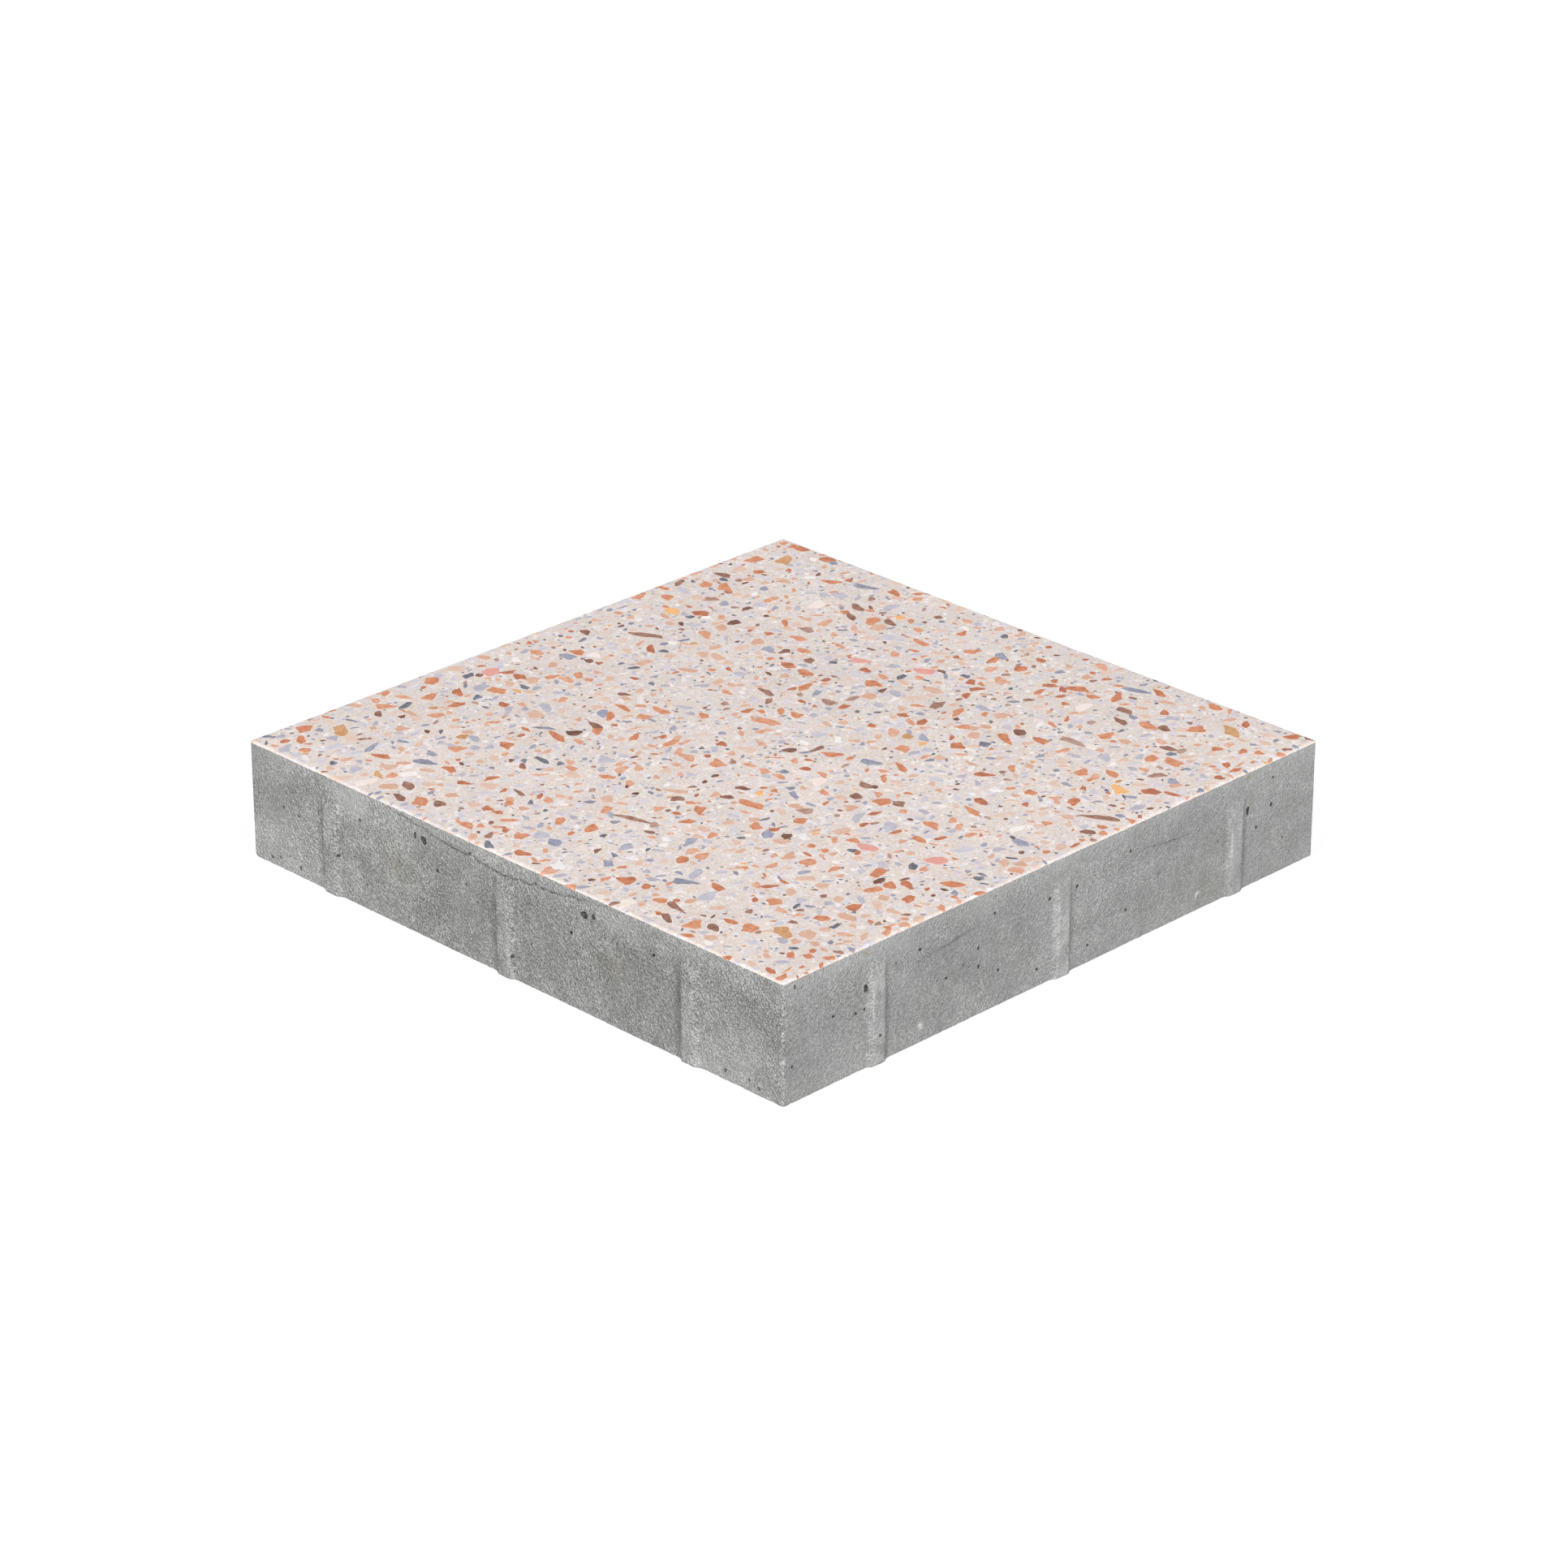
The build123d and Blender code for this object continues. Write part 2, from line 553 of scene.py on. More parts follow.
        # pinholes: dark dots that paint the shade inside holes too small to model
        cells = add_node(tree, "ShaderNodeTexVoronoi", {"Vector": place, "Scale": per_metre(self.pinhole_mm)})
        chance = add_node(tree, "ShaderNodeSeparateColor", {"Color": cells.outputs["Color"]}).outputs["Red"]
        sizes = {"Value": chance, "From Min": self.pinhole_empty, "To Max": self.pinhole_reach}
        radius = add_node(tree, "ShaderNodeMapRange", sizes).outputs["Result"]
        near = {0: cells.outputs["Distance"], 1: radius}
        inside = add_node(tree, "ShaderNodeMath", near, operation="LESS_THAN").outputs[0]
        weak = {0: inside, 1: self.pinhole_share}
        pinhole_shade = add_node(tree, "ShaderNodeMath", weak, operation="MULTIPLY").outputs[0]
        # painted shade of pinholes, cracks and nibs, with the darker patches, mixed towards the dark colour
        shade_inputs = {0: pinhole_shade, 1: marks["hollow"]}
        shade_and_dark_patches = add_node(tree, "ShaderNodeMath", shade_inputs, operation="MAXIMUM").outputs[0]
        marked = ((stain, self.rust, "MULTIPLY"), (marks["pale"], self.pale, "MIX"))
        for factor, colour, blend in (*marked, (shade_and_dark_patches, self.pinhole_shade, "MIX")):
            mix = {"Factor": factor, "A": grey, "B": srgb(colour)}
            grey = add_node(tree, "ShaderNodeMix", mix, data_type="RGBA", blend_type=blend).outputs[2]
        tree.links.new(grey, shader.inputs["Base Color"])


@dataclass(frozen=True)
class Patch:
    """Soft-edged places in the mortar where a paler or warmer sand gathers."""

    tone: str
    size_mm: float
    start: float  # noise value at which a patch begins
    full: float  # noise value at which it is at its strongest
    share: float
    aside_mm: float  # moves the noise, so that patches of different tones do not coincide


@dataclass(frozen=True)
class Specks:
    """Grains of sand that show in the mortar, at most one to a cell."""

    tones: tuple[str, ...]
    cell_mm: float
    empty: float  # share of cells without a grain
    reach: float  # largest grain's radius, in cells
    share: float
    aside_mm: float


@dataclass(frozen=True)
class GroundMortar:
    """The pale mortar of the face, ground flat: beige, mottled with sand too fine to be stones."""

    name: str = "ground_mortar"
    dark: str = "#cfc0b7"
    light: str = "#f1e7e0"
    sand_mm: float = 0.7
    patches: tuple[Patch, ...] = (
        Patch("#d8d6e3", 4.6, 0.52, 0.66, 0.7, 310.0),
        Patch("#e6cbbb", 6.0, 0.57, 0.72, 0.5, 570.0),
        Patch("#f6f0f0", 3.0, 0.54, 0.67, 0.75, 790.0),
    )
    specks: tuple[Specks, ...] = (
        Specks(("#cbb9b0", "#c5bcc2", "#c3bfcc", "#cdbdb4"), 2.2, 0.45, 0.28, 0.6, 130.0),
        Specks(("#f6f1f0", "#f9f3f0", "#f0edf2"), 1.8, 0.45, 0.28, 0.6, 0.0),
        Specks(("#8d8586", "#a9735a", "#766c69", "#8f92a2"), 1.9, 0.4, 0.22, 0.8, 90.0),
    )
    noise_range: tuple[float, float] = (0.3, 0.7)  # noise values of the darkest and the lightest sand
    cloud_mm: float = 26.0
    cloud_change: float = 0.04
    roughness: float = 0.72
    specular: float = 0.1

    def material(self) -> bpy.types.Material:
        """Makes the material: fine sand as noise, soft patches, and grains of sand on top.

        Returns:
            The finished material.
        """
        material, tree, shader, place = new_material(self.name)
        low, high = self.noise_range
        fine = {"Vector": place, "Scale": per_metre(self.sand_mm), **SAND_NOISE}
        sand = add_node(tree, "ShaderNodeTexNoise", fine).outputs["Fac"]
        stops = [(low, srgb(self.dark)), (high, srgb(self.light))]
        base = add_node(tree, "ShaderNodeValToRGB", {"Fac": sand}, stops=stops).outputs["Color"]
        for patch in self.patches:
            aside = {"Vector": place, "Location": (patch.aside_mm * MM, 0.0, 0.0)}
            moved = add_node(tree, "ShaderNodeMapping", aside).outputs["Vector"]
            broken = {"Vector": moved, "Scale": per_metre(patch.size_mm), **BROKEN_NOISE}
            noise = add_node(tree, "ShaderNodeTexNoise", broken).outputs["Fac"]
            edge = {"Value": noise, "From Min": patch.start, "From Max": patch.full, "To Max": patch.share}
            factor = add_node(tree, "ShaderNodeMapRange", edge).outputs["Result"]
            mix = {"Factor": factor, "A": base, "B": srgb(patch.tone)}
            base = add_node(tree, "ShaderNodeMix", mix, data_type="RGBA").outputs[2]
        for specks in self.specks:
            base = self._speckle(tree, place, base, specks)
        slow = {"Vector": place, "Scale": per_metre(self.cloud_mm), "Detail": 3.0}
        cloud = add_node(tree, "ShaderNodeTexNoise", slow).outputs["Fac"]
        ends = {"To Min": 1.0 - self.cloud_change, "To Max": 1.0 + self.cloud_change}
        change = {"Value": cloud, "From Min": low, "From Max": high, **ends}
        tone = add_node(tree, "ShaderNodeMapRange", change).outputs["Result"]
        shaded = add_node(tree, "ShaderNodeVectorMath", {0: base, "Scale": tone}, operation="SCALE")
        tree.links.new(shaded.outputs["Vector"], shader.inputs["Base Color"])
        shader.inputs["Roughness"].default_value = self.roughness
        shader.inputs["Specular IOR Level"].default_value = self.specular
        return material

    def _speckle(self, tree: Tree, place: Socket, base: Socket, specks: Specks) -> Socket:
        """Adds grains of random size and tone at some cells' middles.

        Args:
            tree: the material's node tree.
            place: object-space place of a shaded point.
            base: the colour so far.
            specks: the grains.

        Returns:
            The speckled colour.
        """
        aside = {"Vector": place, "Location": (specks.aside_mm * MM, 0.0, 0.0)}
        moved = add_node(tree, "ShaderNodeMapping", aside).outputs["Vector"]
        cells = add_node(tree, "ShaderNodeTexVoronoi", {"Vector": moved, "Scale": per_metre(specks.cell_mm)})
        chance = add_node(tree, "ShaderNodeSeparateColor", {"Color": cells.outputs["Color"]}).outputs
        sizes = {"Value": chance["Green"], "From Min": specks.empty, "To Max": specks.reach}
        radius = add_node(tree, "ShaderNodeMapRange", sizes).outputs["Result"]
        near = {0: cells.outputs["Distance"], 1: radius}
        inside = add_node(tree, "ShaderNodeMath", near, operation="LESS_THAN").outputs[0]
        weak = {0: inside, 1: specks.share}
        factor = add_node(tree, "ShaderNodeMath", weak, operation="MULTIPLY").outputs[0]
        stops = [(number / len(specks.tones), srgb(tone)) for number, tone in enumerate(specks.tones)]
        ramp = add_node(tree, "ShaderNodeValToRGB", {"Fac": chance["Red"]}, stops=stops)
        ramp.color_ramp.interpolation = "CONSTANT"
        mix = {"Factor": factor, "A": base, "B": ramp.outputs["Color"]}
        return add_node(tree, "ShaderNodeMix", mix, data_type="RGBA").outputs[2]


@dataclass(frozen=True)
class GroundStone:
    """Stone chips cut flat by the grinder: each has its own tone, which drifts across it, and a mottle."""

    name: str
    tones: tuple[str, ...]
    drift: float = 0.32  # how far the tone drifts along the row of tones within a chip
    drift_mm: float = 2.6
    mottle: float = 0.22
    mottle_mm: float = 0.7
    noise_range: tuple[float, float] = (0.25, 0.75)  # noise values of the greatest changes
    roughness: float = 0.62
    specular: float = 0.12

    def material(self) -> bpy.types.Material:
        """Makes the material: the chip's tone from the attribute tint, shifted and mottled by noise.

        Returns:
            The finished material.
        """
        material, tree, shader, place = new_material(self.name)
        tint = add_node(tree, "ShaderNodeAttribute", attribute_name="tint").outputs["Fac"]
        low, high = self.noise_range
        changes = []
        for size, usual, swing in ((self.drift_mm, 0.0, self.drift), (self.mottle_mm, 1.0, self.mottle)):
            broken = {"Vector": place, "Scale": per_metre(size), **BROKEN_NOISE}
            noise = add_node(tree, "ShaderNodeTexNoise", broken).outputs["Fac"]
            ends = {"To Min": usual - swing, "To Max": usual + swing}
            change = {"Value": noise, "From Min": low, "From Max": high, **ends}
            changes.append(add_node(tree, "ShaderNodeMapRange", change).outputs["Result"])
        shifted = add_node(tree, "ShaderNodeMath", {0: tint, 1: changes[0]}, operation="ADD").outputs[0]
        step = 1.0 / (len(self.tones) - 1)
        stops = [(step * number, srgb(colour)) for number, colour in enumerate(self.tones)]
        tone = add_node(tree, "ShaderNodeValToRGB", {"Fac": shifted}, stops=stops).outputs["Color"]
        mottled = {0: tone, "Scale": changes[1]}
        colour = add_node(tree, "ShaderNodeVectorMath", mottled, operation="SCALE").outputs["Vector"]
        tree.links.new(colour, shader.inputs["Base Color"])
        shader.inputs["Roughness"].default_value = self.roughness
        shader.inputs["Specular IOR Level"].default_value = self.specular
        return material


def place_piece(piece: Piece) -> Piece:
    """Puts a finished piece into the scene and says what it rides on.

    Args:
        piece: the mesh object, with its place in its mesh.

    Returns:
        The same object.
    """
    bpy.context.scene.collection.objects.link(piece)
    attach(piece, BODY)
    LOG.info("%s: %d faces", piece.name, len(piece.data.polygons))
    return piece


def set_attribute(mesh: bpy.types.Mesh, name: str, values: Array, kind: str = "FLOAT") -> None:
    """Stores one number, or one vector, to a vertex on a mesh.

    Args:
        mesh: the mesh.
        name: the attribute's name.
        values: numbers or vectors in the order of the vertices.
        kind: Blender's name for what is stored.
    """
    layer = mesh.attributes.new(name, kind, "POINT")
    field = "value" if kind == "FLOAT" else "vector"
    layer.data.foreach_set(field, np.ascontiguousarray(values, np.float32).ravel())


def set_map(mesh: bpy.types.Mesh, places: Array) -> None:
    """Lays a mesh out flat for baking, with two map coordinates for each corner of each face."""
    layer = mesh.uv_layers.new(name=BAKE_MAP)
    layer.data.foreach_set("uv", places.astype(np.float32).ravel())


class Field(Enum):
    """The random fields that shape and mark the walls: each has a step of the seed and a pitch."""

    WAVES = (1, 34.0)
    LUMPS = (2, 6.5)
    SAND = (3, 1.6)
    CHIPS = (4, 1.7)
    NICKS = (5, 1.3)
    WANDER = (6, 2.6)
    BREAKS = (7, 6.0)
    WORN_HIGHLIGHT = (8, 2.2)
    BLOOM = (8, 5.0)
    COARSE = (10, 22.0)


class Finish(Enum):
    """The slab's finishes: each value is a place in its list of materials."""

    WALL = 0
    MORTAR = 1
    UNDERSIDE = 2
    # the inside of a bug hole, painted in dark greys as shade
    HOLE = 3


@dataclass
class PressedSlab:
    """The slab itself: an upright profile carried round a square outline, and closed above and below."""

    block: SlabSizes
    nibs: NibSizes
    grid: float = 0.86  # mesh spacing on the walls
    nib_gap: float = 0.4  # between a nib and the first even mesh column beside it
    corner_steps: int = 6
    foot_steps: int = 5
    arris_steps: int = 7
    seed: int = 41
    scattered: int = 26  # small bug holes to a wall out of view
    in_view: int = 8  # small bug holes to a wall in view, beside those that are listed
    clear_ends: float = 6.0  # from a wall's ends to the first scattered hole
    clear_edges: float = 5.0  # from the face, and from the foot
    hole_width: tuple[float, float] = (0.8, 1.1)  # the smallest scattered hole, and the range above it
    hole_height: tuple[float, float] = (0.85, 1.4)  # least and greatest height to width
    hole_rings: int = 3  # mesh cells from a bug hole's middle to where the mesh is even again
    hole_floor: tuple[float, float] = (0.66, 0.85)  # the floor's size and depth, as shares of the hole's
    hole_waves: tuple[float, float] = (0.13, 0.09)  # unevenness of the rim, two and three waves round
    hole_depth: float = 0.55  # to the smaller of width and height
    hole_seed: int = 9  # step of the seed
    crack_wander: float = 0.4
    crack_taper: float = 16.0  # length over which a crack's ends fade
    crack_share: tuple[float, float, float] = (0.95, 0.35, 0.75)  # usual strength, its swing and the least
    crack_reach: float = 3.2  # how far from a crack the mesh is drawn to it
    crack_pull: float = 1.2  # power of s
    crack_clear: float = 1.5  # the pull fades out over this height below the edge of the face
    crack_shade: float = 1.9  # painted shade in a crack, to a millimetre of its depth
    grain_angle: float = 36.0  # degrees that the grain leans
    grain_wave: float = 60.0
    coarse: tuple[float, ...] = (0.97, 1.0, 1.0, 1.65)  # relief of the grain, in the order of the walls
    coarse_drift: float = 0.3
    wave_height: float = 0.05
    lump_height: float = 0.045
    sand_height: float = 0.1
    even_edge: float = 1.2  # the unevenness fades out over this height below the edge of the face
    foot_wear: tuple[float, float] = (0.25, 0.9)  # greatest depth, and the height over which it fades
    edge_wear: tuple[float, float] = (0.28, 0.6)  # the same for the edge of the face
    upper_bloom: tuple[float, float, float, float] = (33.0, 16.0, 1.5, 0.115)  # start, run, power, share
    lower_bloom: tuple[float, float] = (14.0, 0.02)  # height and share
    crown_wear_and_highlight: tuple[float, float] = (0.06, 0.12)  # usual share and its swing of the paler crown, partly wear and partly painted highlight
    arris_wear_and_highlight: tuple[float, float] = (0.5, 1.2)  # the same for a rubbed edge, partly wear and partly painted highlight
    mark_slope: float = 1.5  # how fast a mark fades to its rim
    sharp_angle: float = 38.0  # degrees from which an edge is shaded sharp

    def field(self, kind: Field, points: Array) -> Array:
        """Reads one of the random fields at some places, as values from -1 to 1."""
        step, pitch = kind.value
        return LatticeNoise(self.seed + step, pitch).sample(points)

    def columns(self) -> Array:
        """Lists the mesh columns of one wall, from its middle, close together at the nibs' flanks."""
        run = self.block.straight
        even = np.linspace(-run, run, int(round(2 * run / self.grid)) + 1)
        places = np.array(self.nibs.places)
        clear = np.min(np.abs(even[:, None] - places), axis=1) > self.nibs.width / 2 + self.nib_gap
        at_nibs = (places[:, None] + self.nibs.stops()).ravel()
        return np.sort(np.concatenate([even[clear], at_nibs]))

    def rows(self) -> Array:
        """Lists the heights of the mesh rows: round the foot, up the wall, over the edge of the face."""
        turn = np.linspace(0.0, math.pi / 2, self.foot_steps)
        foot = self.block.foot_radius * (1.0 - np.cos(turn))
        count = int(round((self.block.wall_top - self.block.foot_radius) / self.grid)) + 1
        wall = np.linspace(self.block.foot_radius, self.block.wall_top, count)[1:]
        for level in (self.nibs.height - self.nibs.run_out, self.nibs.height):
            wall[np.argmin(np.abs(wall - level))] = level
        slope = np.linspace(self.block.arris_slope, 0.0, self.arris_steps)[1:]
        arris = self.block.mortar_top - self.block.arris_radius * (1.0 - np.cos(slope))
        return np.concatenate([foot, wall, arris])

    def outline(self) -> dict[str, Array]:
        """Works out the block's outline at every mesh column.

        A wall is a straight run, and after it comes a quarter circle to the next wall.

        Returns:
            Point, outward normal and direction (as rows of two), place along the wall, distance round the
            outline, whether the column is on a straight run, and the wall's number.
        """
        stops = self.columns()
        turn = np.linspace(0.0, math.pi / 2, self.corner_steps + 1)[1:-1]
        radius = self.block.corner_radius
        run = self.block.straight
        wall_length = 2 * run + self.block.corner_length
        keys = ("point", "normal", "ahead", "along", "round", "flat", "wall")
        parts: dict[str, list[Array]] = {key: [] for key in keys}
        for number in range(len(Wall)):
            angle = number * math.pi / 2
            ahead = np.array([math.cos(angle), math.sin(angle)])
            out = np.array([math.sin(angle), -math.cos(angle)])
            bend = np.cos(turn)[:, None] * out + np.sin(turn)[:, None] * ahead
            count = len(stops) + len(turn)
            straight = stops[:, None] * ahead + self.block.half * out
            parts["point"] += [straight, run * (ahead + out) + radius * bend]
            parts["normal"] += [np.tile(out, (len(stops), 1)), bend]
            parts["ahead"] += [np.tile(ahead, (count, 1))]
            parts["along"] += [stops, run + radius * turn]
            start = number * wall_length
            parts["round"] += [stops + run + start, 2 * run + radius * turn + start]
            parts["flat"] += [np.ones(len(stops)), np.zeros(len(turn))]
            parts["wall"] += [np.full(count, number)]
        return {key: np.concatenate(value) for key, value in parts.items()}

    def hollows(self) -> list[Spot]:
        """Lists the bug holes: those in view, and small ones scattered by a seeded draw over every wall."""
        draw = np.random.default_rng(self.seed)
        found = list(SEEN_HOLLOWS)
        apart = 2 * self.hole_rings * self.grid
        smallest, wider = self.hole_width
        for wall in Wall:
            seen = wall in (Wall.FRONT_LEFT, Wall.FRONT_RIGHT)
            for _ in range(self.in_view if seen else self.scattered):
                along = draw.uniform(self.clear_ends, self.block.side - self.clear_ends)
                below = draw.uniform(self.clear_edges, self.block.thickness - self.clear_edges)
                wide = smallest + wider * draw.random() ** 3
                tall = wide * draw.uniform(*self.hole_height)
                others = [hole for hole in found if hole.wall == wall]
                near = [max(abs(hole.along - along), abs(hole.below - below)) for hole in others]
                aside = np.min(np.abs(along - self.block.half - np.array(self.nibs.places)))
                if min(near, default=apart) >= apart and aside > self.nibs.width / 2 + apart / 2:
                    found.append(Spot(wall, along, below, wide, tall))
        return found

    def trace(self, crack: Fissure, along: Array) -> tuple[Array, Array]:
        """Follows a crack along its wall.

        It wanders about its line by a small smooth noise and fades out at its ends. A slower noise makes it
        come and go between them.

        Args:
            crack: the crack.
            along: places along the wall, from its middle.

        Returns:
            The crack's height at each place, and its strength there from 0 to 1.
        """
        line = np.array(crack.line)
        left = along + self.block.half
        path = np.stack([left, np.full_like(left, crack.depth), np.full_like(left, crack.spread)], axis=-1)
        wander = self.crack_wander * self.field(Field.WANDER, path)
        height = self.block.thickness - np.interp(left, line[:, 0], line[:, 1]) + wander
        ends = np.clip(np.minimum(left - line[0, 0], line[-1, 0] - left) / self.crack_taper, 0.0, 1.0)
        usual, swing, least = self.crack_share
        return height, ends * np.clip(usual + swing * self.field(Field.BREAKS, path), least, 1.0)

    def sink(self, path: dict[str, Array], rows: Array) -> dict[str, Array]:
        """Draws the mesh lines into the cracks and bug holes, and gives how deep each point lies in them.

        A crack draws the points up or down: at a share s of its reach, a distance is multiplied by a power of
        s, so that the mesh is finest in the crack. Its depth falls as a bell curve. A bug hole takes the
        square rings of mesh points about its middle and lays them out as ovals: its floor, and its rim.

        Args:
            path: the outline, as outline gives it.
            rows: heights of the mesh rows.

        Returns:
            For every column and row: place along the wall, height, depth, and a share of painted shade in the
                cracks from 0 to 1. The entry "holes" is one for a mesh face inside a bug hole.
        """
        shape = (len(path["along"]), len(rows))
        along = np.repeat(path["along"][:, None], shape[1], axis=1)
        up = np.repeat(rows[None, :], shape[0], axis=0)
        depth = np.zeros(shape)
        shade_and_dark_patches = np.zeros(shape)
        inside = np.zeros((shape[0], shape[1] - 1), dtype=bool)
        on_wall = {wall: np.flatnonzero((path["wall"] == wall.value) & (path["flat"] > 0)) for wall in Wall}
        for crack in SEEN_FISSURES:
            block = on_wall[crack.wall]
            middle, strength = self.trace(crack, along[block])
            away = up[block] - middle
            share = np.clip(np.abs(away) / self.crack_reach, TOUCH, 1.0)
            below_edge = np.clip((self.block.wall_top - up[block]) / self.crack_clear, 0.0, 1.0)
            up[block] = middle + away * share ** (self.crack_pull * strength * below_edge)
            bell = strength * np.exp(-(((up[block] - middle) / crack.spread) ** 2))
            depth[block] = np.maximum(depth[block], crack.depth * bell)
            # painted shade along the crack, darker where the crack is deeper
            shade_and_dark_patches[block] = np.maximum(shade_and_dark_patches[block], self.crack_shade * crack.depth * bell)
        count = self.hole_rings
        step = np.arange(1 - count, count)
        right, rise = np.meshgrid(step, step, indexing="ij")
        ring = np.maximum(np.abs(right), np.abs(rise))
        angle = np.arctan2(rise, right)
        stops = [0, count - 2, count - 1]
        floor_size, floor_depth = self.hole_floor
        size = np.interp(ring, stops, [0.0, floor_size, 1.0])
        sunk = np.interp(ring, stops, [1.0, floor_depth, 0.0])
        top_row = int(np.searchsorted(rows, self.block.wall_top - TOUCH))
        draw = np.random.default_rng(self.seed + self.hole_seed)
        twice, thrice = self.hole_waves
        for hole in self.hollows():
            block = on_wall[hole.wall]
            middle = hole.along - self.block.half
            height = self.block.thickness - hole.below
            nearest = np.argmin(np.abs(path["along"][block] - middle))
            column = int(np.clip(nearest, count, len(block) - 1 - count))
            row = int(np.clip(np.argmin(np.abs(rows - height)), count + 1, top_row - count))
            phase = draw.uniform(0.0, 2 * math.pi, 2)
            uneven = 1.0 + twice * np.sin(2 * angle + phase[0]) + thrice * np.sin(3 * angle + phase[1])
            spot = np.ix_(block[column + step], row + step)
            along[spot] = middle + hole.wide / 2 * size * uneven * np.cos(angle)
            up[spot] = height + hole.tall / 2 * size * uneven * np.sin(angle)
            depth[spot] = self.hole_depth * min(hole.wide, hole.tall) * sunk
            shade_and_dark_patches[spot] = 0.0
            inside[np.ix_(block[column + step[:-1]], row + step[:-1])] = True
        return {"along": along, "up": up, "depth": depth, "shade_and_dark_patches": shade_and_dark_patches, "holes": inside}

    def lean(self, trip: Array, up: Array) -> Array:
        """Gives each point's place in the grain, which leans down towards the front corner from both sides.

        With a as the distance from that corner and d as the depth below the face, the grain's length is along
        -a cos(angle) + d sin(angle) and its width is along a sin(angle) + d cos(angle). The third coordinate
        is a slow wave round the slab, so that the two sides of the corner are not each other's mirror image.

        Args:
            trip: distance round the outline.
            up: height above the underside.

        Returns:
            Places in millimetres, the last axis holding three coordinates.
        """
        around = self.block.around
        from_corner = (trip + self.block.corner_length / 2 + around / 2) % around - around / 2
        aside = np.abs(from_corner)
        deep = self.block.thickness - up
        angle = math.radians(self.grain_angle)
        length = -aside * math.cos(angle) + deep * math.sin(angle)
        width = aside * math.sin(angle) + deep * math.cos(angle)
        wave = self.grain_wave * np.sin(2 * math.pi * from_corner / around)
        return np.stack([length, width, wave], axis=-1)

    def build(self) -> Piece:
        """Makes the slab's mesh.

        Every point starts on the outline, at its column and row. It moves in by the profile's inset or out
        by a nib's reach, whichever lies further out, and then by the wall's unevenness and its hollows. An
        inset of more than the foot's shrinks the outline as a whole, so that its corners keep their shape.

        Returns:
            The slab as an object that is not in the scene yet.
        """
        path = self.outline()
        rows = self.rows()
        shape = (len(path["along"]), len(rows))
        sunk = self.sink(path, rows)
        moved, height = sunk["along"], sunk["up"]
        shift = moved - path["along"][:, None]
        ground = path["point"][:, None, :] + shift[..., None] * path["ahead"][:, None, :]
        grain = self.lean(path["round"][:, None] + shift, height)
        nib = np.where(path["flat"][:, None] > 0, self.nibs.reach_at(moved, height), self.nibs.none)
        inset = self.block.inset(height)
        near = np.minimum(inset, self.block.foot_radius)
        place = np.concatenate([ground, height[..., None]], axis=2)
        coarse = np.array(self.coarse)[path["wall"]][:, None]
        coarse = coarse * (1.0 + self.coarse_drift * self.field(Field.COARSE, place))
        rough = self.unevenness(place, grain, coarse)
        out = np.minimum(np.maximum(-near, nib) + rough, self.nibs.reach) - sunk["depth"]
        ground = ground + out[..., None] * path["normal"][:, None, :]
        ground = ground * ((self.block.half - inset) / (self.block.half - near))[..., None]
        points = np.concatenate([ground, height[..., None]], axis=2).reshape(-1, 3) * MM
        column, row = np.meshgrid(np.arange(shape[0]), np.arange(shape[1] - 1), indexing="ij")
        here = column * shape[1] + row
        after = (column + 1) % shape[0] * shape[1] + row
        quads = np.stack([here, after, after + 1, here + 1], axis=-1)
        rim = np.arange(shape[0]) * shape[1]
        faces = quads.reshape(-1, 4).tolist() + [(rim + shape[1] - 1).tolist(), rim[::-1].tolist()]
        mesh = bpy.data.meshes.new("pressed_slab")
        mesh.from_pydata(points.tolist(), [], faces)
        on_wall = (rows[:-1] < self.block.wall_top - TOUCH)[None, :].repeat(shape[0], axis=0)
        finish = np.where(on_wall, Finish.WALL.value, Finish.MORTAR.value)
        finish = np.where(sunk["holes"], Finish.HOLE.value, finish)
        finish = np.concatenate([finish.ravel(), [Finish.MORTAR.value, Finish.UNDERSIDE.value]])
        mesh.polygons.foreach_set("material_index", finish.astype(np.int32))
        lists = (DARK_PATCHES_AND_NIB_SHADE, RUST_STAINS, PALE_MARKS, ARRIS_WEAR_AND_HIGHLIGHTS)
        patch_and_nib_shade, stain, lime, worn_arris_highlight = [self.marks(found, moved, height, path["wall"]) for found in lists]
        usual, swing = self.arris_wear_and_highlight
        # breaks the painted highlight on the rubbed edges into dashes
        worn_arris_highlight = worn_arris_highlight * np.clip(usual + swing * self.field(Field.WORN_HIGHLIGHT, grain), 0.0, 1.0)
        set_attribute(mesh, "lean", grain * MM, "FLOAT_VECTOR")
        set_attribute(mesh, "coarse", coarse)
        # hollow holds painted shade in the cracks and in the lee of the nibs, together with the darker
        # patches
        set_attribute(mesh, "hollow", np.maximum(sunk["shade_and_dark_patches"], patch_and_nib_shade))
        set_attribute(mesh, "stain", stain)
        # pale holds pale marks, the paler upper and lower wall, and painted highlights on nib crowns and
        # shoulders
        set_attribute(mesh, "pale", np.maximum(np.maximum(lime, worn_arris_highlight), self.paling_and_highlight(nib, grain, height)))
        smooth = np.ones(len(faces), dtype=bool)
        smooth[-1] = False  # the underside is one flat face
        mesh.polygons.foreach_set("use_smooth", smooth)
        mesh.set_sharp_from_angle(angle=math.radians(self.sharp_angle))
        self.unwrap(mesh, path, shift, height, rows)
        mesh.update()
        return bpy.data.objects.new("pressed_slab", mesh)

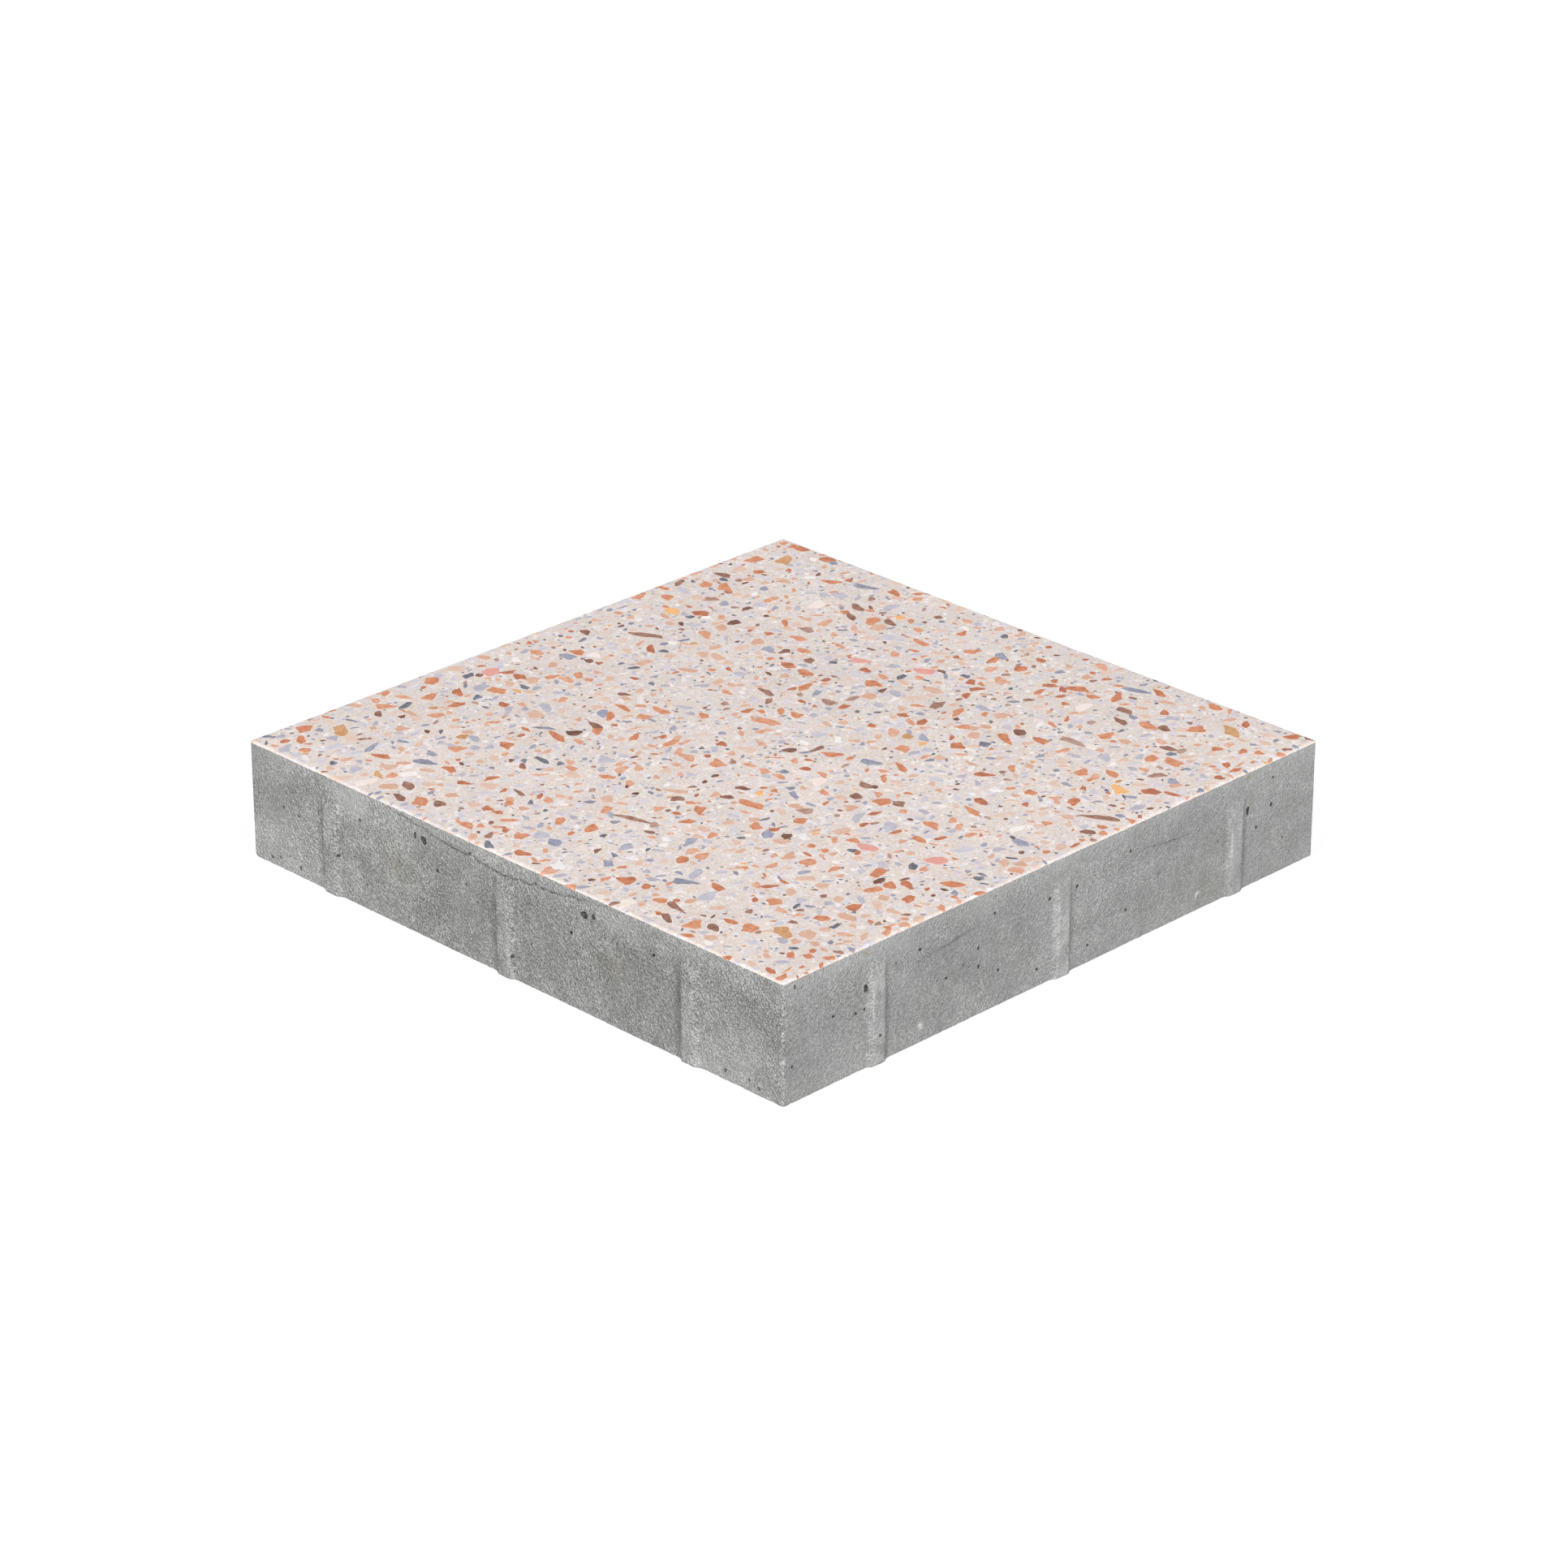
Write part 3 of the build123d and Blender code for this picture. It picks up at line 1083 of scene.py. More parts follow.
    def unevenness(self, place: Array, grain: Array, coarse: Array) -> Array:
        """Gives how far the wall strays from its plane: waves, lumps, leaning sand, and wear at its edges.

        Args:
            place: each point's place before it is moved in or out.
            grain: each point's place in the grain.
            coarse: relief of the sand.

        Returns:
            Distances outwards.
        """
        up = place[..., 2]
        footing = place * np.array([1.0, 1.0, 0.0])
        slim = grain / np.array([GRAIN_STRETCH, 1.0, 1.0])
        waves = self.wave_height * self.field(Field.WAVES, place)
        lumps = self.lump_height * self.field(Field.LUMPS, place)
        sand = self.sand_height * coarse * self.field(Field.SAND, slim)
        chips = np.clip(self.field(Field.CHIPS, footing), 0.0, 1.0)
        nicks = np.clip(self.field(Field.NICKS, footing), 0.0, 1.0)
        foot_depth, foot_fade = self.foot_wear
        edge_depth, edge_fade = self.edge_wear
        foot = chips * np.exp(-up / foot_fade) * foot_depth
        edge = nicks * np.exp(-np.abs(up - self.block.wall_top) / edge_fade) * edge_depth
        fade = np.clip((self.block.wall_top - up) / self.even_edge, 0.0, 1.0)
        return fade * (waves + lumps + sand) - foot - edge

    def marks(self, found: tuple[Spot, ...], along: Array, up: Array, wall: Array) -> Array:
        """Gives how strongly each point is marked by a set of soft-edged spots.

        A spot is full inside a third of its oval and fades evenly to its rim.

        Args:
            found: the spots.
            along: place along the wall.
            up: height above the underside.
            wall: the wall's number at each column.

        Returns:
            Shares from 0 to 1.
        """
        share = np.zeros_like(along)
        for spot in found:
            right = (along + self.block.half - spot.along) / (spot.wide / 2)
            rise = (self.block.thickness - spot.below - up) / (spot.tall / 2)
            fade = np.clip(self.mark_slope * (1.0 - np.hypot(right, rise)), 0.0, 1.0)
            share = np.maximum(share, spot.share * fade * (wall == spot.wall.value)[:, None])
        return share

    def paling_and_highlight(self, nib: Array, grain: Array, up: Array) -> Array:
        """Gives the pale bloom: fine paste below the face, a little at the foot, and paler crowns of nibs,
        partly rubbed wear and partly painted highlight.

        Args:
            nib: how far a nib stands out at each point.
            grain: each point's place in the grain.
            up: height above the underside.

        Returns:
            Shares from 0 to 1.
        """
        start, run, power, share = self.upper_bloom
        upper = np.clip((up - start) / run, 0.0, 1.0) ** power * share
        top, foot_share = self.lower_bloom
        lower = np.clip((top - up) / top, 0.0, 1.0) * foot_share
        usual, swing = self.crown_wear_and_highlight
        crown = np.clip(nib / self.nibs.reach, 0.0, 1.0) ** 2
        return upper + lower + crown * np.clip(usual + swing * self.field(Field.BLOOM, grain), 0.0, 1.0)

    def unwrap(
        self, mesh: bpy.types.Mesh, path: dict[str, Array], shift: Array, up: Array, rows: Array
    ) -> None:
        """Lays the slab out flat: the face largest, four wall strips beside it, and a small underside.

        Args:
            mesh: the slab's mesh.
            path: the outline, as outline gives it.
            shift: how far each point moved along its wall.
            up: each point's height.
            rows: the heights of the mesh rows before points moved.
        """
        face_share, strip_share, under_share = 0.6836, 0.1245, 0.28
        margin, gap = 0.008, 0.01
        scale = face_share / self.block.side
        columns, levels = shift.shape
        steps = np.hypot(np.diff(rows), np.diff(self.block.inset(rows)))
        climb = np.concatenate([[0.0], np.cumsum(steps)]) - rows
        trip = np.concatenate([path["round"], [self.block.around]])
        slide = np.concatenate([shift, shift[:1]])
        rise = np.concatenate([up, up[:1]]) + climb
        start = path["wall"] * self.block.around / 4
        corners = ((0, 0), (1, 0), (1, 1), (0, 1))
        column = np.arange(columns)
        across = []
        climbed = []
        for aside, above in corners:
            levels_here = slice(above, levels - 1 + above)
            across.append((trip[column + aside] - start)[:, None] + slide[column + aside, levels_here])
            climbed.append(rise[column + aside, levels_here])
        flat_across = margin + np.stack(across, axis=-1) * scale
        wall = path["wall"][:, None, None]
        far = margin + face_share + gap + (wall % 2) * (strip_share + gap)
        lying = wall < 2
        flat_up = far + np.stack(climbed, axis=-1) * scale
        map_x = np.where(lying, flat_across, flat_up)
        map_y = np.where(lying, flat_up, flat_across)
        strips = np.stack([map_x, map_y], axis=-1).reshape(-1, 2)
        points = np.empty(len(mesh.vertices) * 3, np.float32)
        mesh.vertices.foreach_get("co", points)
        ground = points.reshape(-1, 3)[:, :2] / MM
        rim = np.arange(columns) * levels
        face = margin + (ground[rim + levels - 1] + self.block.half) * scale
        corner = margin + face_share + gap
        widest = self.block.side + 2 * self.nibs.reach
        under = corner + (ground[rim[::-1]] + widest / 2) * under_share / widest
        set_map(mesh, np.concatenate([strips, face, under]))

    def dress(self, piece: Piece) -> Piece:
        """Gives the slab its finishes and puts it in place of its solid.

        Args:
            piece: the slab.

        Returns:
            The same object.
        """
        finishes = (
            PressedConcrete("pressed_concrete", leaning=True),
            GroundMortar(),
            PressedConcrete("cast_underside", leaning=False, marked=False),
            # the inside of a bug hole is painted in dark greys: painted shade in the hollow
            PressedConcrete("bug_hole_shade", leaning=False, dark="#232321", middle="#383836", light="#565654"),
        )
        for finish in finishes:
            piece.data.materials.append(finish.material())
        place_piece(piece)
        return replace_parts(piece, NODE)


class Rock(Enum):
    """The kinds of stone in the face, each with its finish."""

    # Warm brick red to a dusty pink, matt
    TERRACOTTA = GroundStone(
        "terracotta_stone",
        ("#b8755c", "#ca8363", "#d6916f", "#dc9e7f", "#e0aa90", "#e4b8a4"),
    )
    # Pale and nearly even
    PEACH = GroundStone("peach_stone", ("#d9ac95", "#deb8a3", "#e2c3b2", "#e5cdc0"), mottle=0.08)
    # Dark to a dusty light brown
    BROWN = GroundStone("brown_stone", ("#745348", "#90695c", "#a27a6b", "#b18c7e", "#bfa195"))
    # Blue-grey, from dark to pale
    SLATE = GroundStone("slate_stone", ("#72727b", "#8a8c9b", "#9b9cae", "#a9aaba", "#b8b6c5"))
    # Cool, a little darker than the mortar
    LILAC = GroundStone("lilac_quartz", ("#b6b3bf", "#c5c1cb", "#d0cbd6", "#dad4da"), mottle=0.1)
    # Lighter than the mortar, nearly white
    PALE = GroundStone("pale_quartz", ("#ebe5e7", "#f3eeee", "#f8f3f1", "#f5e6dd"), mottle=0.04)
    # Honey to orange
    OCHRE = GroundStone("ochre_stone", ("#c9976c", "#daa97f", "#edb682", "#f7be82"))
    # Warm and nearly even
    PINK = GroundStone("pink_stone", ("#e09a90", "#e6a69c", "#eab2a8"), mottle=0.06)


@dataclass(frozen=True)
class ChipGrade:
    """One sieve size of one kind of stone in the face."""

    rock: Rock
    count: int
    smallest: float
    largest: float
    corners: int  # points on a chip's outline
    longest: float  # greatest length to width


# Stones that stand out in the face: middle as x and y, length, width, turn in degrees and tint of each
SEEN_STONES: dict[Rock, Rows] = {
    Rock.TERRACOTTA: (
        (-126, 141, 7.4, 6.0, -20, 0.4), (-60, 140, 7.5, 5.8, 60, 0.3), (-70, 130, 6.6, 4.8, 0, 0.4),
        (-59, 125, 7.8, 3.8, 65, 0.1), (-67, 116, 6.8, 4.2, -12, 0.2), (-47, 115, 9.8, 4.6, -65, 0.5),
        (-20, 103, 6.2, 5.0, 70, 0.8), (-121, 100, 8.4, 3.6, -60, 0.2), (-96, 84, 6.4, 5.6, 10, 0.6),
        (-80, 74, 7.2, 4.8, 55, 0.2), (-110, 72, 8.2, 3.6, 65, 0.3), (-138, 58, 7.4, 6.6, 30, 0.5),
        (-60, 66, 10.0, 4.4, 70, 0.3), (-33, 64, 7.4, 3.8, 30, 0.4), (-23, 66, 7.6, 3.4, 70, 0.3),
        (-15, 54, 8.6, 4.2, 85, 0.5), (-45, 58, 6.0, 4.6, 60, 0.4), (-140, 30, 8.2, 4.0, 85, 0.5),
        (-33, 29, 6.8, 5.4, 0, 0.5), (-38, 16, 8.2, 4.6, 75, 0.7), (-33, 3, 8.4, 5.4, 70, 0.6),
        (-132, 8, 5.8, 5.0, 0, 0.5), (-51, -33, 11.2, 5.4, -80, 0.4), (-68, -23, 7.2, 4.4, 60, 0.3),
        (-145, -21, 6.6, 5.8, 30, 0.8), (-129, -47, 7.4, 6.2, -50, 0.2), (-103, -49, 6.2, 4.8, 15, 0.3),
        (-63, -48, 5.8, 5.0, 45, 0.5), (-48, -57, 6.2, 4.4, -70, 0.4), (-13, -67, 7.4, 6.2, 30, 0.4),
        (-110, -76, 7.8, 3.6, 70, 0.2), (-138, -91, 7.4, 6.6, 30, 0.5), (-71, -84, 6.8, 5.4, 60, 0.5),
        (-104, -99, 7.2, 5.0, 60, 0.5), (-15, -95, 8.6, 4.2, 85, 0.5), (-126, -108, 7.2, 6.2, -25, 0.4),
        (-60, -109, 7.4, 5.8, 60, 0.3), (-70, -118, 6.6, 4.8, 0, 0.5), (-59, -124, 7.6, 3.8, 65, 0.2),
        (-67, -133, 6.6, 4.4, -10, 0.3), (-47, -134, 9.6, 4.6, -65, 0.4), (-20, -144, 6.2, 5.2, 60, 0.8),
        (60, 145, 6.4, 4.6, 20, 0.6), (68, 136, 8.0, 3.8, 80, 0.5), (89, 135, 6.8, 5.0, 50, 0.5),
        (92, 127, 9.4, 5.4, 78, 0.5), (123, 140, 7.4, 6.0, -20, 0.4), (66, 114, 7.2, 5.4, -50, 0.0),
        (2, 120, 6.2, 5.0, -45, 0.3), (51, 96, 8.2, 4.4, 80, 0.6), (128, 100, 8.4, 3.8, -60, 0.3),
        (138, 73, 8.2, 3.6, 65, 0.2), (110, 58, 7.4, 6.6, 30, 0.5), (76, 67, 6.6, 5.0, 80, 0.6),
        (68, 57, 6.6, 4.2, 85, 0.5), (53, 40, 7.2, 5.8, 60, 0.3), (43, 30, 7.0, 4.8, 0, 0.3),
        (64, 15, 7.2, 5.8, 60, 0.3), (8, 16, 13.0, 5.8, -78, 0.6), (21, 14, 6.8, 4.0, 70, 0.4),
        (108, 29, 8.4, 4.0, 85, 0.5), (116, 7, 5.8, 5.2, 20, 0.5), (103, -21, 6.6, 5.8, 30, 0.8),
        (4, -23, 8.4, 4.2, -65, 0.3), (51, -27, 5.2, 4.6, 0, 0.0), (28, -39, 6.4, 5.8, 10, 0.6),
        (44, -52, 7.2, 5.0, 50, 0.2), (14, -52, 8.2, 3.4, 65, 0.3), (64, -59, 10.0, 4.4, 68, 0.3),
        (119, -48, 7.4, 6.2, -50, 0.2), (138, -76, 8.0, 3.6, 65, 0.2), (111, -92, 7.4, 6.6, 30, 0.5),
        (92, -86, 6.8, 5.4, -30, 0.5), (61, -103, 6.4, 5.4, 0, 0.5), (144, -100, 7.0, 4.8, 60, 0.4),
        (68, -112, 8.0, 3.6, 85, 0.4), (90, -114, 6.6, 5.0, 45, 0.5), (92, -122, 9.6, 5.4, 80, 0.5),
        (123, -109, 7.4, 6.2, -20, 0.4), (66, -134, 7.4, 5.4, -50, 0.0), (5, -97, 9.0, 3.4, 75, 0.4),
        (-145.3, -143.8, 5.6, 3.0, 0, 0.4), (-144, -137.4, 5.0, 3.2, 65, 0.2),
        (-129.5, -134, 5.6, 3.0, 45, 0.4), (-126, -139.5, 4.8, 3.0, -85, 0.4),
        (-121.3, -146, 4.6, 3.0, -20, 0.4), (-128, -147.2, 4.0, 1.6, 25, 0.3),
        (-134.2, -143.5, 2.6, 1.6, 25, 0.3), (-83.4, -146, 4.4, 4.0, 0, 0.8),
        (-90.5, -135.7, 3.4, 2.2, 60, 0.4), (-64, -145.8, 4.8, 3.0, 45, 0.6),
        (-54, -143.4, 3.4, 2.4, 70, 0.5), (-55.4, -147, 2.6, 2.2, 50, 0.8),
        (-69, -139.2, 3.4, 1.6, -65, 0.6), (-1.5, -141.3, 3.6, 2.4, -10, 0.3),
        (10.4, -145, 5.0, 1.9, 5, 0.1), (15.4, -143.8, 2.8, 2.3, 60, 0.3),
        (29.4, -141.5, 5.0, 2.8, 70, 0.3), (25.7, -145.6, 4.4, 3.0, 40, 0.6),
        (31.4, -146.8, 3.2, 1.7, -60, 0.6), (41.3, -146, 4.0, 2.9, 90, 0.5),
        (46.6, -145.6, 3.0, 1.9, 30, 0.1), (71.7, -147.2, 2.6, 1.6, 20, 0.7),
        (103.8, -144, 5.4, 3.0, 0, 0.3), (105.4, -138, 5.0, 3.2, 60, 0.2),
        (100.4, -135.2, 3.2, 1.9, -60, 0.4), (119.8, -134.4, 5.6, 3.0, 45, 0.4),
        (123, -140, 4.8, 3.0, -80, 0.5), (114.8, -143.8, 2.6, 1.8, 20, 0.4),
        (127.7, -146.2, 4.6, 2.9, -15, 0.5), (121.4, -147.2, 3.8, 1.4, 25, 0.4),
    ),
    Rock.BROWN: (
        (-132, 73, 8.6, 4.0, 78, 0.5), (-141, 67, 7.6, 3.6, 70, 0.4), (-43, 62, 7.6, 3.4, 80, 0.3),
        (-53, 63, 6.4, 5.0, -35, 0.0), (-134, 51, 6.6, 4.0, 70, 0.4), (-95, 132, 5.6, 3.0, 55, 0.3),
        (-106, 37, 7.0, 2.2, 80, 0.4), (-91, -11, 14.5, 3.2, -72, 0.6), (-66, -10, 5.2, 4.8, 0, 0.4),
        (-43, -20, 6.2, 3.2, -55, 0.2), (-52, -22, 5.2, 3.4, -25, 0.3), (-40, -53, 7.2, 4.6, -75, 0.9),
        (-17, -57, 7.2, 3.8, 68, 0.4), (-7, -51, 8.2, 3.8, 78, 0.6), (-61, -63, 4.8, 4.2, 0, 0.1),
        (-132, -76, 8.4, 4.0, 78, 0.5), (-141, -81, 7.6, 3.6, 72, 0.4), (-134, -98, 6.6, 4.0, 70, 0.4),
        (-10, -73, 6.6, 3.8, 70, 0.5), (101, 136, 8.2, 3.8, -80, 0.4), (79, 122, 6.0, 4.8, -60, 0.7),
        (34, 113, 14.0, 4.2, -68, 0.5), (68, 97, 5.6, 4.8, 20, 0.1), (116, 73, 8.6, 4.0, 78, 0.5),
        (107, 67, 7.6, 3.6, 70, 0.4), (114, 51, 6.6, 4.0, 70, 0.4), (84, 71, 7.4, 4.6, -70, 0.9),
        (62, 61, 4.8, 4.2, 0, 0.3), (28, 38, 7.6, 4.0, 80, 0.5), (39, 14, 7.6, 4.2, 85, 0.7),
        (67, -20, 7.6, 5.0, 15, 0.5), (71, -61, 6.4, 5.0, -35, 0.2), (116, -76, 8.6, 4.0, 78, 0.5),
        (107, -82, 7.6, 3.6, 72, 0.4), (114, -98, 6.6, 4.0, 70, 0.4), (79, -81, 13.0, 4.0, -87, 0.9),
        (101, -112, 8.0, 3.4, -80, 0.4), (80, -126, 6.0, 4.8, -60, 0.7), (35, -136, 14.0, 4.2, -68, 0.5),
        (-116, -145, 4.2, 2.5, -55, 0.6), (-89.5, -138.8, 3.4, 2.4, 10, 0.6),
        (-58.4, -137, 2.2, 1.8, 60, 0.1), (-8.6, -135, 2.8, 2.5, 20, 0.2),
        (18.6, -146.5, 3.4, 2.2, 85, 0.7), (132.8, -145.2, 4.2, 2.5, -50, 0.5),
    ),
    Rock.SLATE: (
        (-46, 134, 5.6, 3.6, 20, 0.0), (-3, 120, 7.0, 5.4, 60, 0.6), (-114, 85, 10.2, 4.2, -70, 0.4),
        (-106, 88, 6.0, 3.4, 75, 0.6), (-84, 87, 7.6, 3.2, 75, 0.9), (-32, 69, 7.4, 4.6, 30, 0.6),
        (-37, 110, 4.8, 3.2, 80, 0.1), (-127, -4, 7.0, 5.2, 70, 0.6), (-125, -33, 6.0, 4.0, 50, 0.6),
        (-65, -57, 6.4, 5.0, 60, 0.6), (-115, -64, 10.2, 4.2, -70, 0.4), (-46, -114, 5.6, 3.6, 20, 0.0),
        (-3, -129, 7.2, 5.4, 60, 0.6), (-36, -139, 5.0, 3.0, 75, 0.1), (98, 133, 5.0, 2.8, -80, 0.1),
        (79, 115, 5.2, 4.0, 45, 0.7), (134, 85, 10.2, 4.4, -70, 0.4), (59, 68, 6.6, 4.8, 60, 0.7),
        (78, 10, 5.6, 3.2, 20, 0.0), (121, -4, 7.0, 5.2, 70, 0.6), (9, -39, 10.0, 4.2, -75, 0.5),
        (41, -37, 7.2, 3.6, 75, 0.8), (134, -65, 10.2, 4.4, -70, 0.4), (98, -116, 5.0, 2.8, -80, 0.1),
        (79, -133, 5.4, 4.4, 45, 0.7), (78, -34, 8.0, 3.4, 75, 1.0), (-111.3, -145.8, 4.0, 2.3, 80, 0.6),
        (-113, -136.6, 3.2, 2.1, 15, 0.2), (-50.9, -140.6, 4.4, 2.5, 60, 0.5),
        (-33, -137.2, 4.4, 1.4, 90, 0.1), (-15.2, -135, 4.6, 1.8, -65, 0.0),
        (41.6, -139.8, 4.4, 2.9, -50, 0.5), (137.7, -145.8, 4.0, 2.2, 85, 0.6),
        (143.7, -132.2, 3.0, 2.0, -70, 0.5), (136, -137.2, 3.2, 2.0, 15, 0.4),
        (63.1, -144.8, 2.8, 1.8, 90, 0.9),
    ),
    Rock.OCHRE: (
        (-117, 130, 9.6, 6.4, 45, 0.2), (-118, -119, 9.6, 6.4, 45, 0.2), (131, 130, 9.6, 6.4, 45, 0.2),
        (131, -119, 9.6, 6.4, 45, 0.2), (59, 124, 8.0, 5.8, 75, 1.0), (59, -125, 8.0, 5.8, 75, 1.0),
        (-87, 92, 5.0, 4.2, 15, 0.0), (37, -32, 5.0, 4.2, 15, 0.0), (-41, -28, 4.4, 3.4, 45, 0.9),
        (-139, -141.4, 5.6, 1.2, 8, 0.3), (110.6, -141.7, 5.0, 1.2, 10, 0.3),
    ),
    Rock.PINK: (
        (-36, 131, 9.0, 6.4, -80, 0.5), (-47, -91, 9.0, 5.2, -75, 0.5), (-36, -117, 9.0, 6.4, -80, 0.5),
        (77, 33, 7.4, 5.6, -70, 0.6), (88, 7, 8.8, 6.2, -80, 0.5),
    ),
    Rock.PEACH: (
        (-52, 87, 8.0, 6.6, -45, 0.3), (-73, -76, 7.2, 4.4, -5, 0.0), (77, -9, 9.0, 5.0, -70, 0.2),
        (54, 5, 6.6, 5.8, 0, 0.1), (37, 83, 7.0, 4.5, 45, 0.3), (21, 75, 7.5, 4.0, -60, 0.0),
        (62, 76, 7.0, 5.0, 60, 0.1), (-81, -94, 6.5, 5.0, 0, 0.5), (-82, -102, 5.5, 4.8, 0, 0.4),
    ),
    Rock.PALE: (
        (-17, -37, 8.0, 5.4, 10, 1.0), (107, -62, 9.0, 5.0, 0, 1.0), (-142, -62, 8.0, 5.0, 0, 1.0),
        (106, 87, 8.5, 5.5, 0, 1.0), (-142, 87, 8.0, 5.6, 0, 1.0),
    ),
    Rock.LILAC: (
        (-44, 90, 9.0, 4.2, 70, 0.2), (-124, -123, 5.6, 3.6, 70, 0.0), (-124, 126, 5.8, 3.6, 75, 0.0),
        (-54, -106, 6.5, 4.0, 60, 0.5), (-54, 143, 6.5, 4.0, 60, 0.5),
    ),
}

# Sieve sizes of the rest, coarse to fine, with how many chips of each lie in the face
GRADES = (
    ChipGrade(Rock.TERRACOTTA, 84, 4.2, 6.2, 20, 2.2),
    ChipGrade(Rock.PEACH, 50, 4.6, 7.2, 20, 2.0),
    ChipGrade(Rock.LILAC, 40, 4.4, 7.2, 18, 2.2),
    ChipGrade(Rock.SLATE, 14, 3.8, 5.6, 18, 2.6),
    ChipGrade(Rock.BROWN, 40, 3.0, 5.0, 18, 2.2),
    ChipGrade(Rock.PALE, 5, 4.0, 6.0, 18, 1.8),
    ChipGrade(Rock.OCHRE, 6, 3.2, 5.0, 18, 2.2),
    ChipGrade(Rock.TERRACOTTA, 195, 2.9, 4.6, 16, 2.4),
    ChipGrade(Rock.PEACH, 280, 2.8, 5.0, 14, 2.0),
    ChipGrade(Rock.LILAC, 270, 2.5, 4.5, 14, 2.2),
    ChipGrade(Rock.SLATE, 220, 2.0, 3.8, 14, 2.8),
    ChipGrade(Rock.PALE, 60, 2.0, 4.0, 14, 1.8),
    ChipGrade(Rock.BROWN, 220, 1.2, 3.0, 10, 2.4),
    ChipGrade(Rock.TERRACOTTA, 215, 1.4, 2.9, 10, 2.6),
    ChipGrade(Rock.OCHRE, 24, 1.4, 2.8, 10, 2.4),
    ChipGrade(Rock.PEACH, 120, 1.7, 2.8, 9, 2.0),
    ChipGrade(Rock.LILAC, 430, 1.3, 2.5, 9, 2.2),
    ChipGrade(Rock.SLATE, 800, 1.0, 1.9, 8, 2.4),
    ChipGrade(Rock.PALE, 240, 1.0, 2.0, 8, 1.8),
)


